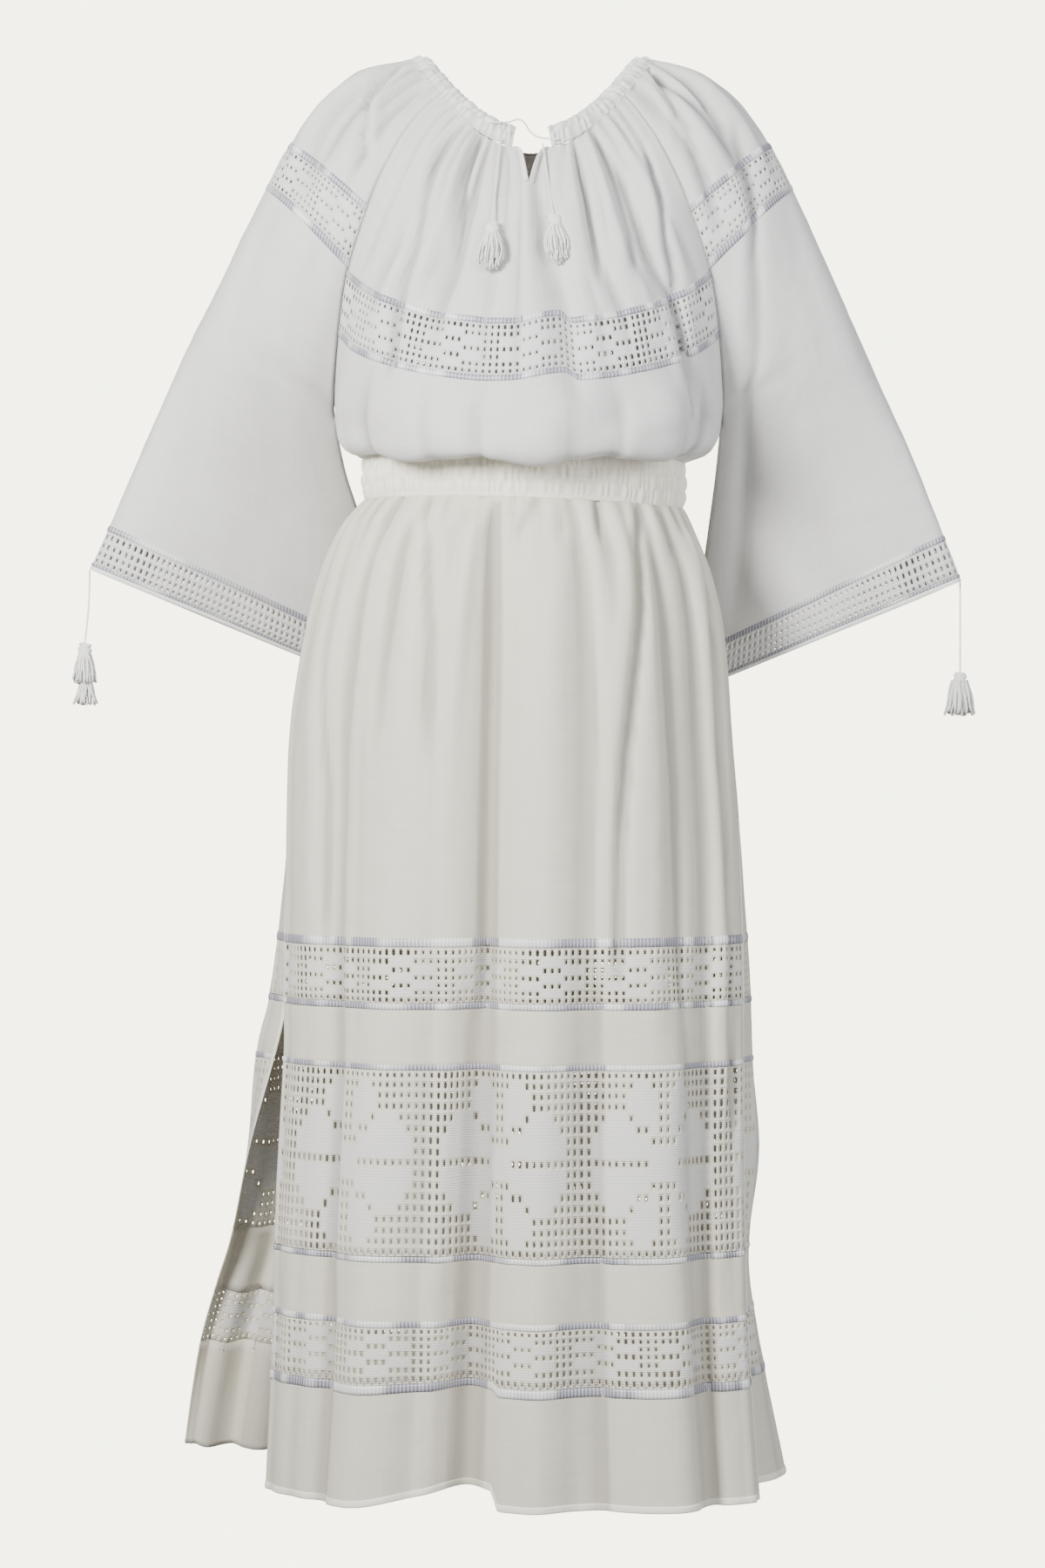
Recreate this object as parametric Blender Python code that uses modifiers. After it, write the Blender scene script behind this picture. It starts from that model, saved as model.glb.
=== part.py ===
"""Peasant midi dress: gathered neck with a drawstring, wide sleeves, blouson bodice, smocked waist, slit skirt.

Metres, +Z up, the front faces -Y and the wearer's left is +X. The origin is between the shoulders at the height of
the neck's sides. Tables are in millimetres: across is away from the middle, forward is towards -Y, height is Z.
"""

import math

import bmesh
import bpy
import numpy as np
from mathutils import Vector

MM = 0.001
WALL = 1.3 * MM
SEAM = 0.3 * MM
SEAM_ANGLED = 0.65 * MM
SIDES = {"right": -1, "left": 1}
BODY_CENTRE = 3 * MM

NECK_CENTRE = 5.5 * MM
NECK_HALF_WIDTH = 80 * MM
NECK_FRONT = 75 * MM
NECK_BACK = 71 * MM
NECK_SIDE_HEIGHT = -4.5 * MM
NECK_DIP_FRONT = 64.5 * MM
NECK_DIP_BACK = 60 * MM
CASING_WIDTH = 20 * MM
CASING_WALL = 2.2 * MM
CASING_RUCHE = 2.4 * MM
CASING_PUFF = 2.5 * MM
CASING_RUCHES = 38
CASING_END = 0.94
SLIT_HALF_WIDTH = 12.5 * MM
SLIT_ROWS = 0.85
FRONT_SPLIT = math.radians(48)
BACK_SPLIT = math.radians(134)

WAIST_CENTRE = -1 * MM
WAIST_HALF_WIDTH = 131 * MM
WAIST_FRONT = 97 * MM
WAIST_BACK = 92 * MM
WAIST_TOP = -327 * MM
WAIST_BOTTOM = -364.5 * MM
WAIST_TILT = -0.03
WAIST_RIBS = 50
WAIST_RIB = 2.0 * MM

CORD_RADIUS = 0.8 * MM
TASSEL_STRANDS = 12


def table(columns, *rows):
    """Named columns in metres from rows in millimetres, but degrees and shares stay as they are."""
    found = {}
    for name, values in zip(columns.split(), zip(*rows)):
        unit = 1 if name.endswith(("deg", "share")) else MM
        found[name] = np.array(values, float) * unit
    return found


FRONT = table(
    "seam_across seam_forward seam_height middle_forward middle_height spread_deg",
    (83, 57, -40, 85, -87, 60),
    (103, 73, -78, 103, -125, 60),
    (117, 76, -105, 114, -165, 62),
    (128, 73, -131, 123, -199, 65),
    (144.5, 58, -180, 129, -229, 72),
    (153, 40, -231, 135, -279, 80),
    (157.5, 12, -275, 142, -306, 88),
    (157.5, -8, -292, 146, -324, 90),
    (154, -4, -310, 140, -338, 90),
    (143, 0, -321, 121, -338, 90),
    (131, 0, -326.5, 97, -326.5, 90),
)
BACK = table(
    "seam_across seam_forward seam_height middle_forward middle_height spread_deg",
    (83, -55, -38, -82, -82, 60),
    (103, -68, -74, -94, -115, 60),
    (117, -73, -107, -101, -150, 62),
    (130, -74, -142, -106, -185, 65),
    (143, -66, -190, -109, -225, 72),
    (152, -50, -238, -111, -262, 80),
    (157.5, -26, -277, -114, -290, 88),
    (157.5, -8, -292, -115, -307, 90),
    (154, -4, -310, -110, -320, 90),
    (143, 0, -321, -100, -328, 90),
    (131, 0, -326.5, -92, -326.5, 90),
)
INNER_SEAM = table(
    "across_left across_right forward height",
    (155, 150, -36, -335),
    (149, 134, -74, -395),
    (140, 134, -94, -478),
    (135, 136, -103, -511),
)
SLEEVE = table(
    "across height forward round_front round_back seam_front seam_back turn_front_deg turn_back_deg",
    (99, -3, 0, 26, 26, 25, 25, -35, -35),
    (137, -13, 0, 45, 42, 30, 30, -12, -12),
    (167, -36, 0, 50, 48, 35, 35, 0, 0),
    (193, -72, 0, 52, 52, 38, 38, 10, 10),
    (213, -110, 0, 55, 55, 42, 42, 20, 20),
    (234, -150, -2, 56, 55, 48, 48, 32, 30),
    (253.5, -190, -3, 55, 54, 60, 55, 45, 40),
    (269, -222, -5, 52, 52, 64, 55, 50, 45),
    (289, -265, -8, 48, 48, 60, 55, 45, 45),
    (315.5, -321.6, -10, 42, 44, 60, 58, 38, 40),
    (341, -384, -10, 36, 42, 60, 60, 32, 36),
    (356, -421, -10, 32, 42, 60, 60, 30, 34),
)
UNDERARM_ROW = 7
CUFF_TILT = 5 * MM
SKIRT_HEIGHT = table(
    "height", (-364.5,), (-385,), (-420,), (-470,), (-540,), (-620,), (-712,), (-768,), (-811,), (-888,), (-966,),
    (-1012,), (-1068,), (-1152,),
)["height"]
SKIRT_FRONT = table(
    "right left right_forward left_forward middle_forward",
    (132, 130, 0, 0, 97),
    (150, 139, 0, 0, 112),
    (166, 152, 0, 0, 122),
    (179, 162, 0, 0, 128),
    (190, 168, 0, 0, 131),
    (192.5, 173, 5, 8, 132),
    (194, 175, 12, 28, 132),
    (194, 175, 16, 40, 131),
    (194, 175, 18, 45, 130),
    (198, 175, 20, 55, 130),
    (201.5, 176, 22, 62, 130),
    (202, 177, 22, 66, 130),
    (204, 180, 22, 70, 130),
    (209, 186, 20, 78, 130),
)
SKIRT_BACK = table(
    "right left right_forward left_forward middle_forward right_flank left_flank",
    (132, 130, 0, 0, -92, 0, 0),
    (150, 139, 0, 0, -104, 0, 0),
    (166, 152, 0, 0, -112, 0, 0),
    (179, 162, 0, 0, -118, 0, 0),
    (190, 168, 0, 0, -122, 0, 0),
    (192.5, 173, 5, 8, -124, 4, 3),
    (194, 175, 12, 28, -125, 14, 9),
    (194, 175, 16, 40, -126, 24, 14),
    (203, 172, 6, 42, -127, 26, 23),
    (226, 168, -30, 44, -128, 8, 36),
    (244, 167, -66, 47, -129, 2, 26),
    (259, 168, -86, 50, -130, 0, 30),
    (275, 170, -106, 53, -131, 0, 38),
    (289, 176, -130, 60, -132, 0, 50),
)

# A fold is a ridge, or a hollow where its depth is negative. Places are shares of the panel's half width.
FOLD_COLUMNS = "top_share foot_share from_share to_share half_width_share top foot"
SKIRT_FRONT_FOLDS = table(
    FOLD_COLUMNS,
    (-0.08, -0.16, 0.6, 14, 0.10, -7, -34),
    (-0.28, -0.46, 0.4, 14, 0.16, 5, 14),
    (0.08, 0.02, 0.5, 14, 0.12, 6, 14),
    (0.52, 0.42, 0.5, 9, 0.09, -6, -5),
    (0.30, 0.40, 0.8, 14, 0.22, 3, 22),
    (-0.42, -0.40, 0.4, 5, 0.06, -5, -3),
    (-0.62, -0.72, 0.5, 14, 0.10, 4, -6),
    (0.78, 0.74, 0.5, 8, 0.08, 4, 3),
)
SKIRT_BACK_FOLDS = table(
    FOLD_COLUMNS,
    (0.10, 0.16, 0.5, 14, 0.13, -6, -22),
    (-0.20, -0.24, 0.5, 14, 0.16, 6, 12),
    (0.42, 0.48, 0.5, 14, 0.18, 5, 12),
    (-0.50, -0.56, 0.6, 14, 0.10, -6, -18),
    (0.70, 0.68, 0.8, 14, 0.08, -4, -8),
    (-0.74, -0.78, 4, 14, 0.12, 2, -14),
)
BODICE_FRONT_FOLDS = table(
    FOLD_COLUMNS,
    (0.06, 0.16, 0.2, 6.5, 0.10, -5, -7),
    (-0.08, -0.04, 0.3, 7, 0.16, 3, 5),
    (0.30, 0.42, 0.1, 6, 0.14, 4, 6),
    (-0.34, -0.46, 0.1, 5, 0.09, -4, -3),
    (0.62, 0.70, 0.1, 4.5, 0.08, -4, -3),
    (-0.62, -0.70, 0.1, 6, 0.12, 4, 5),
)
BODICE_BACK_FOLDS = table(
    FOLD_COLUMNS,
    (0.0, 0.04, 0.1, 7, 0.12, -4, -4),
    (-0.30, -0.38, 0.1, 6, 0.12, 4, 4),
    (0.32, 0.40, 0.1, 6, 0.12, 4, 4),
)
SLEEVE_FOLDS = table(
    FOLD_COLUMNS,
    (0.30, 0.24, 0.2, 4.6, 0.09, -6, -4),
    (0.42, 0.36, 0.2, 9, 0.10, 3, 4),
    (0.70, 0.72, 0.2, 5, 0.10, -5, -4),
    (0.16, 0.26, 3, 12, 0.10, 2, -5),
    (0.62, 0.66, 5, 12, 0.12, 2, 5),
)


def along(values, row):
    """A smooth curve through one column, read at any row number."""
    values = np.asarray(values)
    last = len(values) - 1
    low = np.clip(np.floor(row).astype(int), 0, last - 1)
    share = row - low
    before = values[np.clip(low - 1, 0, last)]
    start = values[low]
    end = values[low + 1]
    after = values[np.clip(low + 2, 0, last)]
    slope = end - before
    bend = 2 * before - 5 * start + 4 * end - after
    twist = 3 * (start - end) + after - before
    return start + 0.5 * share * (slope + share * (bend + share * twist))


def eased(share):
    share = np.clip(share, 0, 1)
    return share * share * (3 - 2 * share)


def grid(columns, rows):
    return np.meshgrid(columns, rows)


def stack(x, y, z):
    return np.stack(np.broadcast_arrays(x, y, z), axis=-1)


def normals(points):
    """Unit normals of a grid, to the left of its columns as its rows run down."""
    across = np.gradient(points, axis=1)
    down = np.gradient(points, axis=0)
    found = np.cross(down, across)
    return found / np.maximum(np.linalg.norm(found, axis=-1, keepdims=True), 1e-12)


def folds(rows, u, r):
    """The height of all the folds of a table over its panel."""
    height = np.zeros(np.broadcast(u, r).shape)
    for i in range(len(rows["top"])):
        first = rows["from_share"][i]
        last = rows["to_share"][i]
        down = (r - first) / (last - first)
        middle = rows["top_share"][i] + (rows["foot_share"][i] - rows["top_share"][i]) * down
        tall = rows["top"][i] + (rows["foot"][i] - rows["top"][i]) * np.clip(down, 0, 1)
        fade = eased(down / 0.2) * np.where(last >= 12, 1, eased((1 - down) / 0.35))
        away = np.clip(np.abs(u - middle) / rows["half_width_share"][i], 0, 1)
        height += tall * fade * (0.5 + 0.5 * np.cos(math.pi * away))
    return height


def gathers(u, r, count, tall, reach, seed):
    """Waves that are full at the gathered edge, uneven in place and length, and gone after reach rows."""
    place = math.pi * count * u + 0.9 * np.sin(5.1 * u + seed) + 0.5 * np.sin(11.7 * u + 2 * seed)
    length = reach * (0.75 + 0.35 * np.sin(7.3 * u + 3 * seed))
    return tall * np.cos(place) * np.exp(-((np.maximum(r, 0) / length) ** 2))


def neck(theta, outward):
    """A point of the neck, theta round from the front, at a share of the casing's width from the open edge."""
    forward = np.cos(theta)
    level = np.sin(theta)
    deep = np.where(forward > 0, NECK_FRONT, NECK_BACK)
    dip = np.where(forward > 0, NECK_DIP_FRONT, NECK_DIP_BACK)
    away = CASING_WIDTH * outward
    x = NECK_CENTRE + (NECK_HALF_WIDTH + 0.95 * away) * level
    y = -(deep + 0.5 * away) * forward
    z = NECK_SIDE_HEIGHT - dip * forward**2 + away * (0.1 * level**2 - 0.9 * forward**2)
    return stack(x, y, z)


def waist(theta, height):
    """A point of the waist, theta round from the front."""
    deep = np.where(np.cos(theta) > 0, WAIST_FRONT, WAIST_BACK)
    x = WAIST_CENTRE + WAIST_HALF_WIDTH * np.sin(theta)
    return stack(x, -deep * np.cos(theta), height + WAIST_TILT * x)


def bodice(panel, u, r, back):
    """The front or back bodice's outer face, u from -1 to 1 across it and r from the neck to the waist."""
    facing = -1 if back else 1
    spread = np.radians(along(panel["spread_deg"], r))
    turn = u * spread
    toward = (np.cos(turn) - np.cos(spread)) / (1 - np.cos(spread))
    x = BODY_CENTRE + along(panel["seam_across"], r) * np.sin(turn) / np.sin(spread)
    seam_y = -along(panel["seam_forward"], r)
    y = seam_y + (-along(panel["middle_forward"], r) - seam_y) * toward
    seam_z = along(panel["seam_height"], r)
    z = seam_z + (along(panel["middle_height"], r) - seam_z) * toward
    points = stack(x, y, z)
    split = math.pi - BACK_SPLIT if back else FRONT_SPLIT
    top = neck((math.pi - u * split) if back else u * split, 1.0 + SEAM_ANGLED / CASING_WIDTH)
    mix = eased(r)[..., None]
    points = top * (1 - mix) + points * mix
    low = waist(u * math.pi / 2, WAIST_TOP + 2 * SEAM)
    low[..., 1] *= np.where(back, -WAIST_BACK / WAIST_FRONT, 1)
    mix = eased(r - 9)[..., None]
    points = points * (1 - mix) + low * mix
    gap = np.abs(u) ** 12
    points[..., 0] -= np.sign(u) * gap * SEAM_ANGLED * (1 - eased(r - 6))
    points[..., 1] -= facing * gap * 0.5 * SEAM_ANGLED * eased(r - 6)
    return points


def sleeve(u, r, side):
    """A sleeve's outer face: u from 0 at the front seam, over the arm's outer side at a half, to 1 at the back seam."""
    sign = SIDES[side]
    inner = INNER_SEAM["across_" + side]
    halves = []
    for seam, panel, round_name, turn_name, split in (
        (0, FRONT, "front", "front", FRONT_SPLIT),
        (1, BACK, "back", "back", BACK_SPLIT),
    ):
        facing = -1 if seam == 0 else 1
        keep = UNDERARM_ROW + 1
        across = np.concatenate([panel["seam_across"][:keep], inner])
        forward = np.concatenate([panel["seam_forward"][:keep], INNER_SEAM["forward"]])
        height = np.concatenate([panel["seam_height"][:keep], INNER_SEAM["height"]])
        start = stack(along(across, r), -along(forward, r), along(height, r))
        end = stack(along(SLEEVE["across"], r), -along(SLEEVE["forward"], r), along(SLEEVE["height"], r))
        out = (end - start) * np.array([1, 0, 1])
        out = out / np.linalg.norm(out, axis=-1, keepdims=True)
        turn = np.radians(along(SLEEVE[f"turn_{turn_name}_deg"], r))[..., None]
        ahead = np.array([0, facing, 0])
        handle = out * np.cos(turn) + ahead * np.sin(turn)
        first = start + handle * along(SLEEVE["seam_" + round_name], r)[..., None]
        second = end + ahead * along(SLEEVE["round_" + round_name], r)[..., None]
        share = np.clip((u - 1 if seam else u) * (-2 if seam else 2), 0, 1)[..., None]
        rest = 1 - share
        halves.append(rest**3 * start + 3 * rest**2 * share * first + 3 * rest * share**2 * second + share**3 * end)
    points = np.where(u[..., None] <= 0.5, halves[0], halves[1])
    down = r / (len(SLEEVE["across"]) - 1)
    points[..., 0] = BODY_CENTRE * (1 - down**3) + sign * points[..., 0]
    points[..., 2] -= sign * CUFF_TILT * down**2
    top = neck(sign * (FRONT_SPLIT + (BACK_SPLIT - FRONT_SPLIT) * u), 1.0 + SEAM_ANGLED / CASING_WIDTH)
    mix = eased(r)[..., None]
    points = top * (1 - mix) + points * mix
    gap = np.abs(2 * u - 1) ** 12 * np.where(r < UNDERARM_ROW + 0.5, 1, 0)
    points[..., 0] += sign * gap * SEAM_ANGLED
    return points


def skirt(panel, u, r, back):
    """The front or back skirt's outer face, u from -1 to 1 across it and r from the waist to the hem."""
    facing = -1 if back else 1
    turn = u * math.pi / 2
    left = np.where(u > 0, 1.0, 0.0)
    reach = left * along(panel["left"], r) + (1 - left) * along(panel["right"], r)
    x = reach * np.sin(turn)
    edge = left * along(panel["left_forward"], r) + (1 - left) * along(panel["right_forward"], r)
    y = -(edge + (along(panel["middle_forward"], r) - edge) * np.cos(turn))
    if back:
        flank = left * along(panel["left_flank"], r) + (1 - left) * along(panel["right_flank"], r)
        x = x + np.sign(u) * flank * np.sin(math.pi * np.abs(u) ** 2)
    z = along(SKIRT_HEIGHT, r) + WAIST_TILT * x * (1 - eased(r / 3))
    points = stack(x, y, z)
    top = waist(turn, WAIST_BOTTOM - SEAM)
    top[..., 1] *= np.where(back, -WAIST_BACK / WAIST_FRONT, 1)
    mix = eased(r)[..., None]
    points = top * (1 - mix) + points * mix
    points[..., 1] -= facing * np.abs(u) ** 12 * np.where(r < 4.5, 0.5 * SEAM, 0.6 * SEAM_ANGLED)
    return points


def moved_out(points, height, facing, level=None):
    """The points moved along their normals, facing +1 where those already face out, by less in height where level."""
    move = normals(points) * (facing * np.asarray(height))[..., None]
    if level is not None:
        move[..., 2] *= level
    return points + move


def material(name, colour, roughness):
    found = bpy.data.materials.get(name) or bpy.data.materials.new(name)
    found.use_nodes = True
    shader = found.node_tree.nodes["Principled BSDF"]
    shader.inputs["Base Color"].default_value = (*colour, 1)
    shader.inputs["Roughness"].default_value = roughness
    return found


def finish(item, look, group):
    item.data.materials.append(look)
    for polygon in getattr(item.data, "polygons", []):
        polygon.use_smooth = True
    for old in item.users_collection:
        old.objects.unlink(item)
    group.objects.link(item)
    return item


def cloth(name, points, flip, look, group, thick=WALL, relief=None, ring=False):
    """An open loft through a grid of points, made a wall. Relief raises its outer points over a plain inner face."""
    rows, columns = points.shape[:2]
    faces = []
    for i in range(rows - 1):
        for j in range(columns if ring else columns - 1):
            k = (j + 1) % columns
            face = (i * columns + j, i * columns + k, (i + 1) * columns + k, (i + 1) * columns + j)
            faces.append(face if flip else face[::-1])
    mesh = bpy.data.meshes.new(name)
    mesh.from_pydata(points.reshape(-1, 3).tolist(), [], faces)
    item = bpy.data.objects.new(name, mesh)
    group.objects.link(item)
    shell = item.modifiers.new("Wall", "SOLIDIFY")
    shell.use_even_offset = False
    if relief is None:
        welded = bmesh.new()
        welded.from_mesh(mesh)
        bmesh.ops.remove_doubles(welded, verts=welded.verts, dist=0.01 * MM)
        welded.to_mesh(mesh)
        welded.free()
        shell.thickness = thick
        shell.offset = -1
    else:
        tallest = thick + float(relief.max())
        weights = item.vertex_groups.new(name="thickness")
        for index, tall in enumerate(relief.reshape(-1)):
            weights.add([index], (thick + float(tall)) / tallest, "REPLACE")
        shell.thickness = tallest
        shell.offset = 1
        shell.vertex_group = "thickness"
    return finish(item, look, group)


def slit_columns(half):
    """Column places from -1 to 1 with the middle one twice, so that the cloth can open there."""
    left = np.linspace(-1, 0, half + 1)
    return np.concatenate([left, -left[::-1]])


def bodice_front_points(u, r):
    points = bodice(FRONT, u, r, False)
    relief = folds(BODICE_FRONT_FOLDS, u, r) + gathers(u, r, 20, 2.2 * MM, 1.6, 1.0)
    return moved_out(points, relief * (1 - np.abs(u) ** 8), 1, eased((10 - r) / 2))


def make_bodice_front(look, group):
    half = 20
    u, r = grid(slit_columns(half), np.array([0, 0.4, 0.85, 1.6, 2.5, 3.5, 4.7, 6, 7, 8, 8.8, 10]))
    points = bodice_front_points(u, r)
    open_share = np.clip(1 - r / SLIT_ROWS, 0, 1) * (1 - np.abs(u)) ** 2
    sign = np.where(np.arange(u.shape[1]) <= half, -1, 1)
    points[..., 0] += sign * SLIT_HALF_WIDTH * open_share
    return cloth("bodice_front", points, False, look, group)


def bodice_back_points(u, r):
    points = bodice(BACK, u, r, True)
    relief = folds(BODICE_BACK_FOLDS, u, r) + gathers(u, r, 13, 2.2 * MM, 1.5, 2.0)
    return moved_out(points, relief * (1 - np.abs(u) ** 8), -1, eased((10 - r) / 2))


def make_bodice_back(look, group):
    u, r = grid(np.linspace(-1, 1, 27), np.array([0, 0.5, 1.2, 2.2, 3.4, 4.6, 5.8, 7, 8.3, 9.3, 10]))
    return cloth("bodice_back", bodice_back_points(u, r), True, look, group)


def sleeve_points(u, r, side):
    points = sleeve(u, r, side)
    still = 1 - np.abs(2 * u - 1) ** 10
    relief = folds(SLEEVE_FOLDS, u, r) + gathers(2 * u, r, 10, 2.2 * MM, 1.7, 3.0 + SIDES[side])
    return moved_out(points, relief * still, SIDES[side])


def make_sleeve(side, look, group):
    u, r = grid(np.linspace(0, 1, 31), np.array([0, 0.5, 1.2, 2, 3, 4, 5, 6, 7, 8, 9.5, 11]))
    points = sleeve_points(u, r, side)
    closed = r[:, 0] >= UNDERARM_ROW
    points[closed, -1] = points[closed, 0]
    return cloth("sleeve_" + side, points, side == "right", look, group)


def skirt_front_points(u, r):
    points = skirt(SKIRT_FRONT, u, r, False)
    relief = folds(SKIRT_FRONT_FOLDS, u, r) + gathers(u, r, 18, 2.6 * MM, 1.9, 4.0)
    return moved_out(points, relief * (1 - np.abs(u) ** 8), 1, eased(r / 2))


def make_skirt_front(look, group):
    u, r = grid(np.linspace(-1, 1, 37), np.array([0, 0.6, 1.3, 2.1, 3, 4, 5.2, 6.4, 7.6, 9, 10, 11.4, 13]))
    return cloth("skirt_front", skirt_front_points(u, r), False, look, group)


def skirt_back_points(u, r):
    points = skirt(SKIRT_BACK, u, r, True)
    relief = folds(SKIRT_BACK_FOLDS, u, r) + gathers(u, r, 15, 2.6 * MM, 1.9, 5.0)
    return moved_out(points, relief * (1 - np.abs(u) ** 8), -1, eased(r / 2))


def make_skirt_back(look, group):
    u, r = grid(np.linspace(-1, 1, 31), np.array([0, 0.6, 1.3, 2.1, 3, 4, 5.2, 6.4, 7.6, 9, 10, 11.4, 13]))
    return cloth("skirt_back", skirt_back_points(u, r), True, look, group)


def casing_points(theta, share):
    """The casing's inner face, from the neck's open edge at share 0 to the cloth at share 1."""
    points = neck(theta, share)
    puffed = CASING_PUFF * np.sin(math.pi * share) - CASING_WALL
    return moved_out(points, puffed, 1)


def make_casing(look, group):
    gap = SLIT_HALF_WIDTH / NECK_HALF_WIDTH
    columns = np.linspace(gap, 2 * math.pi - gap, 2 * CASING_RUCHES + 1)
    theta, share = grid(columns, np.array([0, 0.33, 0.67, CASING_END]))
    points = casing_points(theta, share)
    ruche = np.where(np.arange(len(columns)) % 2 == 0, 1.0, 0.0)
    uneven = 0.75 + 0.25 * np.sin(2.9 * np.arange(len(columns)))
    relief = CASING_RUCHE * ruche * uneven * np.sin(math.pi * (0.15 + 0.7 * share))
    return cloth("neck_casing", points, False, look, group, CASING_WALL, relief)


def make_label(look, group):
    columns = math.pi + np.linspace(-0.18, 0.18, 5)
    theta, share = grid(columns, np.array([0.1, 0.5, 0.9]))
    points = casing_points(theta, share)
    points = moved_out(points, np.full(points.shape[:2], -2 * SEAM), 1)
    return cloth("neck_label", points, False, look, group, 0.8 * MM)


def make_waistband(look, group):
    columns = np.linspace(0, 2 * math.pi, 2 * WAIST_RIBS, endpoint=False)
    theta, height = grid(columns, np.array([WAIST_TOP, 0.5 * (WAIST_TOP + WAIST_BOTTOM), WAIST_BOTTOM]))
    points = moved_out(waist(theta, height), np.full(theta.shape, -WALL), 1)
    rib = np.where(np.arange(len(columns)) % 2 == 0, 1.0, 0.0)
    uneven = 0.8 + 0.2 * np.sin(2.3 * np.arange(len(columns)))
    relief = WAIST_RIB * rib * uneven * np.array([0.35, 1, 0.35])[:, None]
    return cloth("waistband", points, False, look, group, WALL, relief, ring=True)


def smooth_route(route, step):
    """Points at even steps on a smooth curve through the hand-chosen points of a route."""
    route = np.array(route, float)
    fine = np.linspace(0, len(route) - 1, 40 * len(route))
    curve = np.stack([along(route[:, axis], fine) for axis in range(3)], axis=1)
    run = np.concatenate([[0], np.cumsum(np.linalg.norm(np.diff(curve, axis=0), axis=1))])
    count = max(2, round(run[-1] / step))
    places = np.linspace(0, run[-1], count + 1)
    return np.stack([np.interp(places, run, curve[:, axis]) for axis in range(3)], axis=1)


def make_cord(name, route, look, group):
    data = bpy.data.curves.new(name, "CURVE")
    data.dimensions = "3D"
    data.bevel_depth = CORD_RADIUS
    data.bevel_resolution = 2
    data.use_fill_caps = True
    spline = data.splines.new("POLY")
    places = smooth_route(route, 6 * CORD_RADIUS)
    spline.points.add(len(places) - 1)
    for point, place in zip(spline.points, places):
        point.co = (*place, 1)
    item = bpy.data.objects.new(name, data)
    return finish(item, look, group)


def tassel_shape(head_radius, head_height, strand_length, flare, flat):
    """A knotted head below the origin and its strands, pressed flat in y, as a list of meshes to be joined."""
    made = []
    head = bmesh.new()
    bmesh.ops.create_uvsphere(head, u_segments=8, v_segments=6, radius=1)
    bmesh.ops.scale(head, vec=(head_radius, head_radius, 0.5 * head_height), verts=head.verts)
    bmesh.ops.translate(head, vec=(0, 0, -0.5 * head_height), verts=head.verts)
    made.append(head)
    for i in range(TASSEL_STRANDS):
        ring = 0.45 if i % 3 == 0 else 0.85
        turn = 2.4 * i
        strand = bmesh.new()
        bmesh.ops.create_cone(
            strand, cap_ends=True, segments=3, radius1=0.22 * head_radius, radius2=0.16 * head_radius, depth=1
        )
        length = strand_length * (0.94 + 0.06 * math.sin(3.1 * i))
        for vert in strand.verts:
            down = 0.5 - vert.co.z
            out = head_radius * ring * 0.55 + (flare - head_radius * 0.5) * ring * down
            vert.co.x += math.cos(turn) * out
            vert.co.y += math.sin(turn) * out
            vert.co.z = -0.6 * head_height - down * length
        made.append(strand)
    for shape in made:
        bmesh.ops.scale(shape, vec=(1, flat, 1), verts=shape.verts)
    return made


def make_tassel(name, place, sizes, look, group, down=(0, 0, -1)):
    """Each strand is joined to the head by a Boolean union, so that head and strands are one body."""
    helpers = []
    for i, shape in enumerate(tassel_shape(*sizes)):
        mesh = bpy.data.meshes.new(f"{name}_{i}")
        shape.to_mesh(mesh)
        shape.free()
        helpers.append(bpy.data.objects.new(f"{name}_{i}", mesh))
    head = helpers[0]
    head.name = name
    group.objects.link(head)
    strands = bpy.data.collections.new(name + "_strands")
    for strand in helpers[1:]:
        strands.objects.link(strand)
    joined = head.modifiers.new("Strands", "BOOLEAN")
    joined.operation = "UNION"
    joined.operand_type = "COLLECTION"
    joined.collection = strands
    joined.solver = "EXACT"
    bpy.context.scene.collection.children.link(strands)
    strands.hide_render = True
    bpy.context.view_layer.update()
    whole = bpy.data.meshes.new_from_object(head.evaluated_get(bpy.context.evaluated_depsgraph_get()))
    head.modifiers.clear()
    head.data = whole
    for strand in helpers[1:]:
        bpy.data.objects.remove(strand)
    bpy.data.collections.remove(strands)
    head.location = place
    head.rotation_euler = (-Vector(down)).to_track_quat("Z", "Y").to_euler()
    return finish(head, look, group)


def hanging_cord(top, drop, sway):
    """A cord's route straight down from its top, with a slight sway to the side."""
    return [(top[0] + sway * share**2, top[1], top[2] - drop * share) for share in (0, 0.35, 0.7, 1)]


# The drawstring's stretch over the neck's opening, lying on the casing at both sides of it.
NECK_BRIDGE = (
    (-28, -79.7, -66.5), (-20, -80.4, -66.5), (-13, -79, -66.3), (-7, -78.6, -64), (-1.5, -79.2, -65.5),
    (4.5, -81.5, -74.5), (11, -84, -79), (18, -85.3, -80.3), (26, -84.9, -81),
)
# Each free end of the drawstring: its route down the front, and the way in which its tassel lies.
NECK_CORDS = {
    "right": (
        ((-19.6, -85.4, -80.5), (-21, -92.9, -97), (-22.3, -100.4, -113), (-23.6, -105.8, -129), (-25.5, -114, -151.5)),
        (-3, -12.8, -39),
    ),
    "left": (
        ((14.2, -86.6, -84.4), (16.2, -93.4, -101), (18.3, -99.2, -115.5), (20.3, -103.6, -130), (22.4, -109.4, -144.5)),
        (4, -13.6, -39),
    ),
}
NECK_TASSEL = (4.2 * MM, 9 * MM, 30 * MM, 9.5 * MM, 0.45)
CUFF_TASSELS = {
    "left": [("tassel_cuff_left", 74 * MM, 0, (4.2 * MM, 8 * MM, 25 * MM, 13 * MM, 0.7))],
    "right": [
        ("tassel_cuff_right", 60 * MM, -4 * MM, (4.2 * MM, 9 * MM, 25 * MM, 10 * MM, 0.8)),
    ],
}
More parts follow.
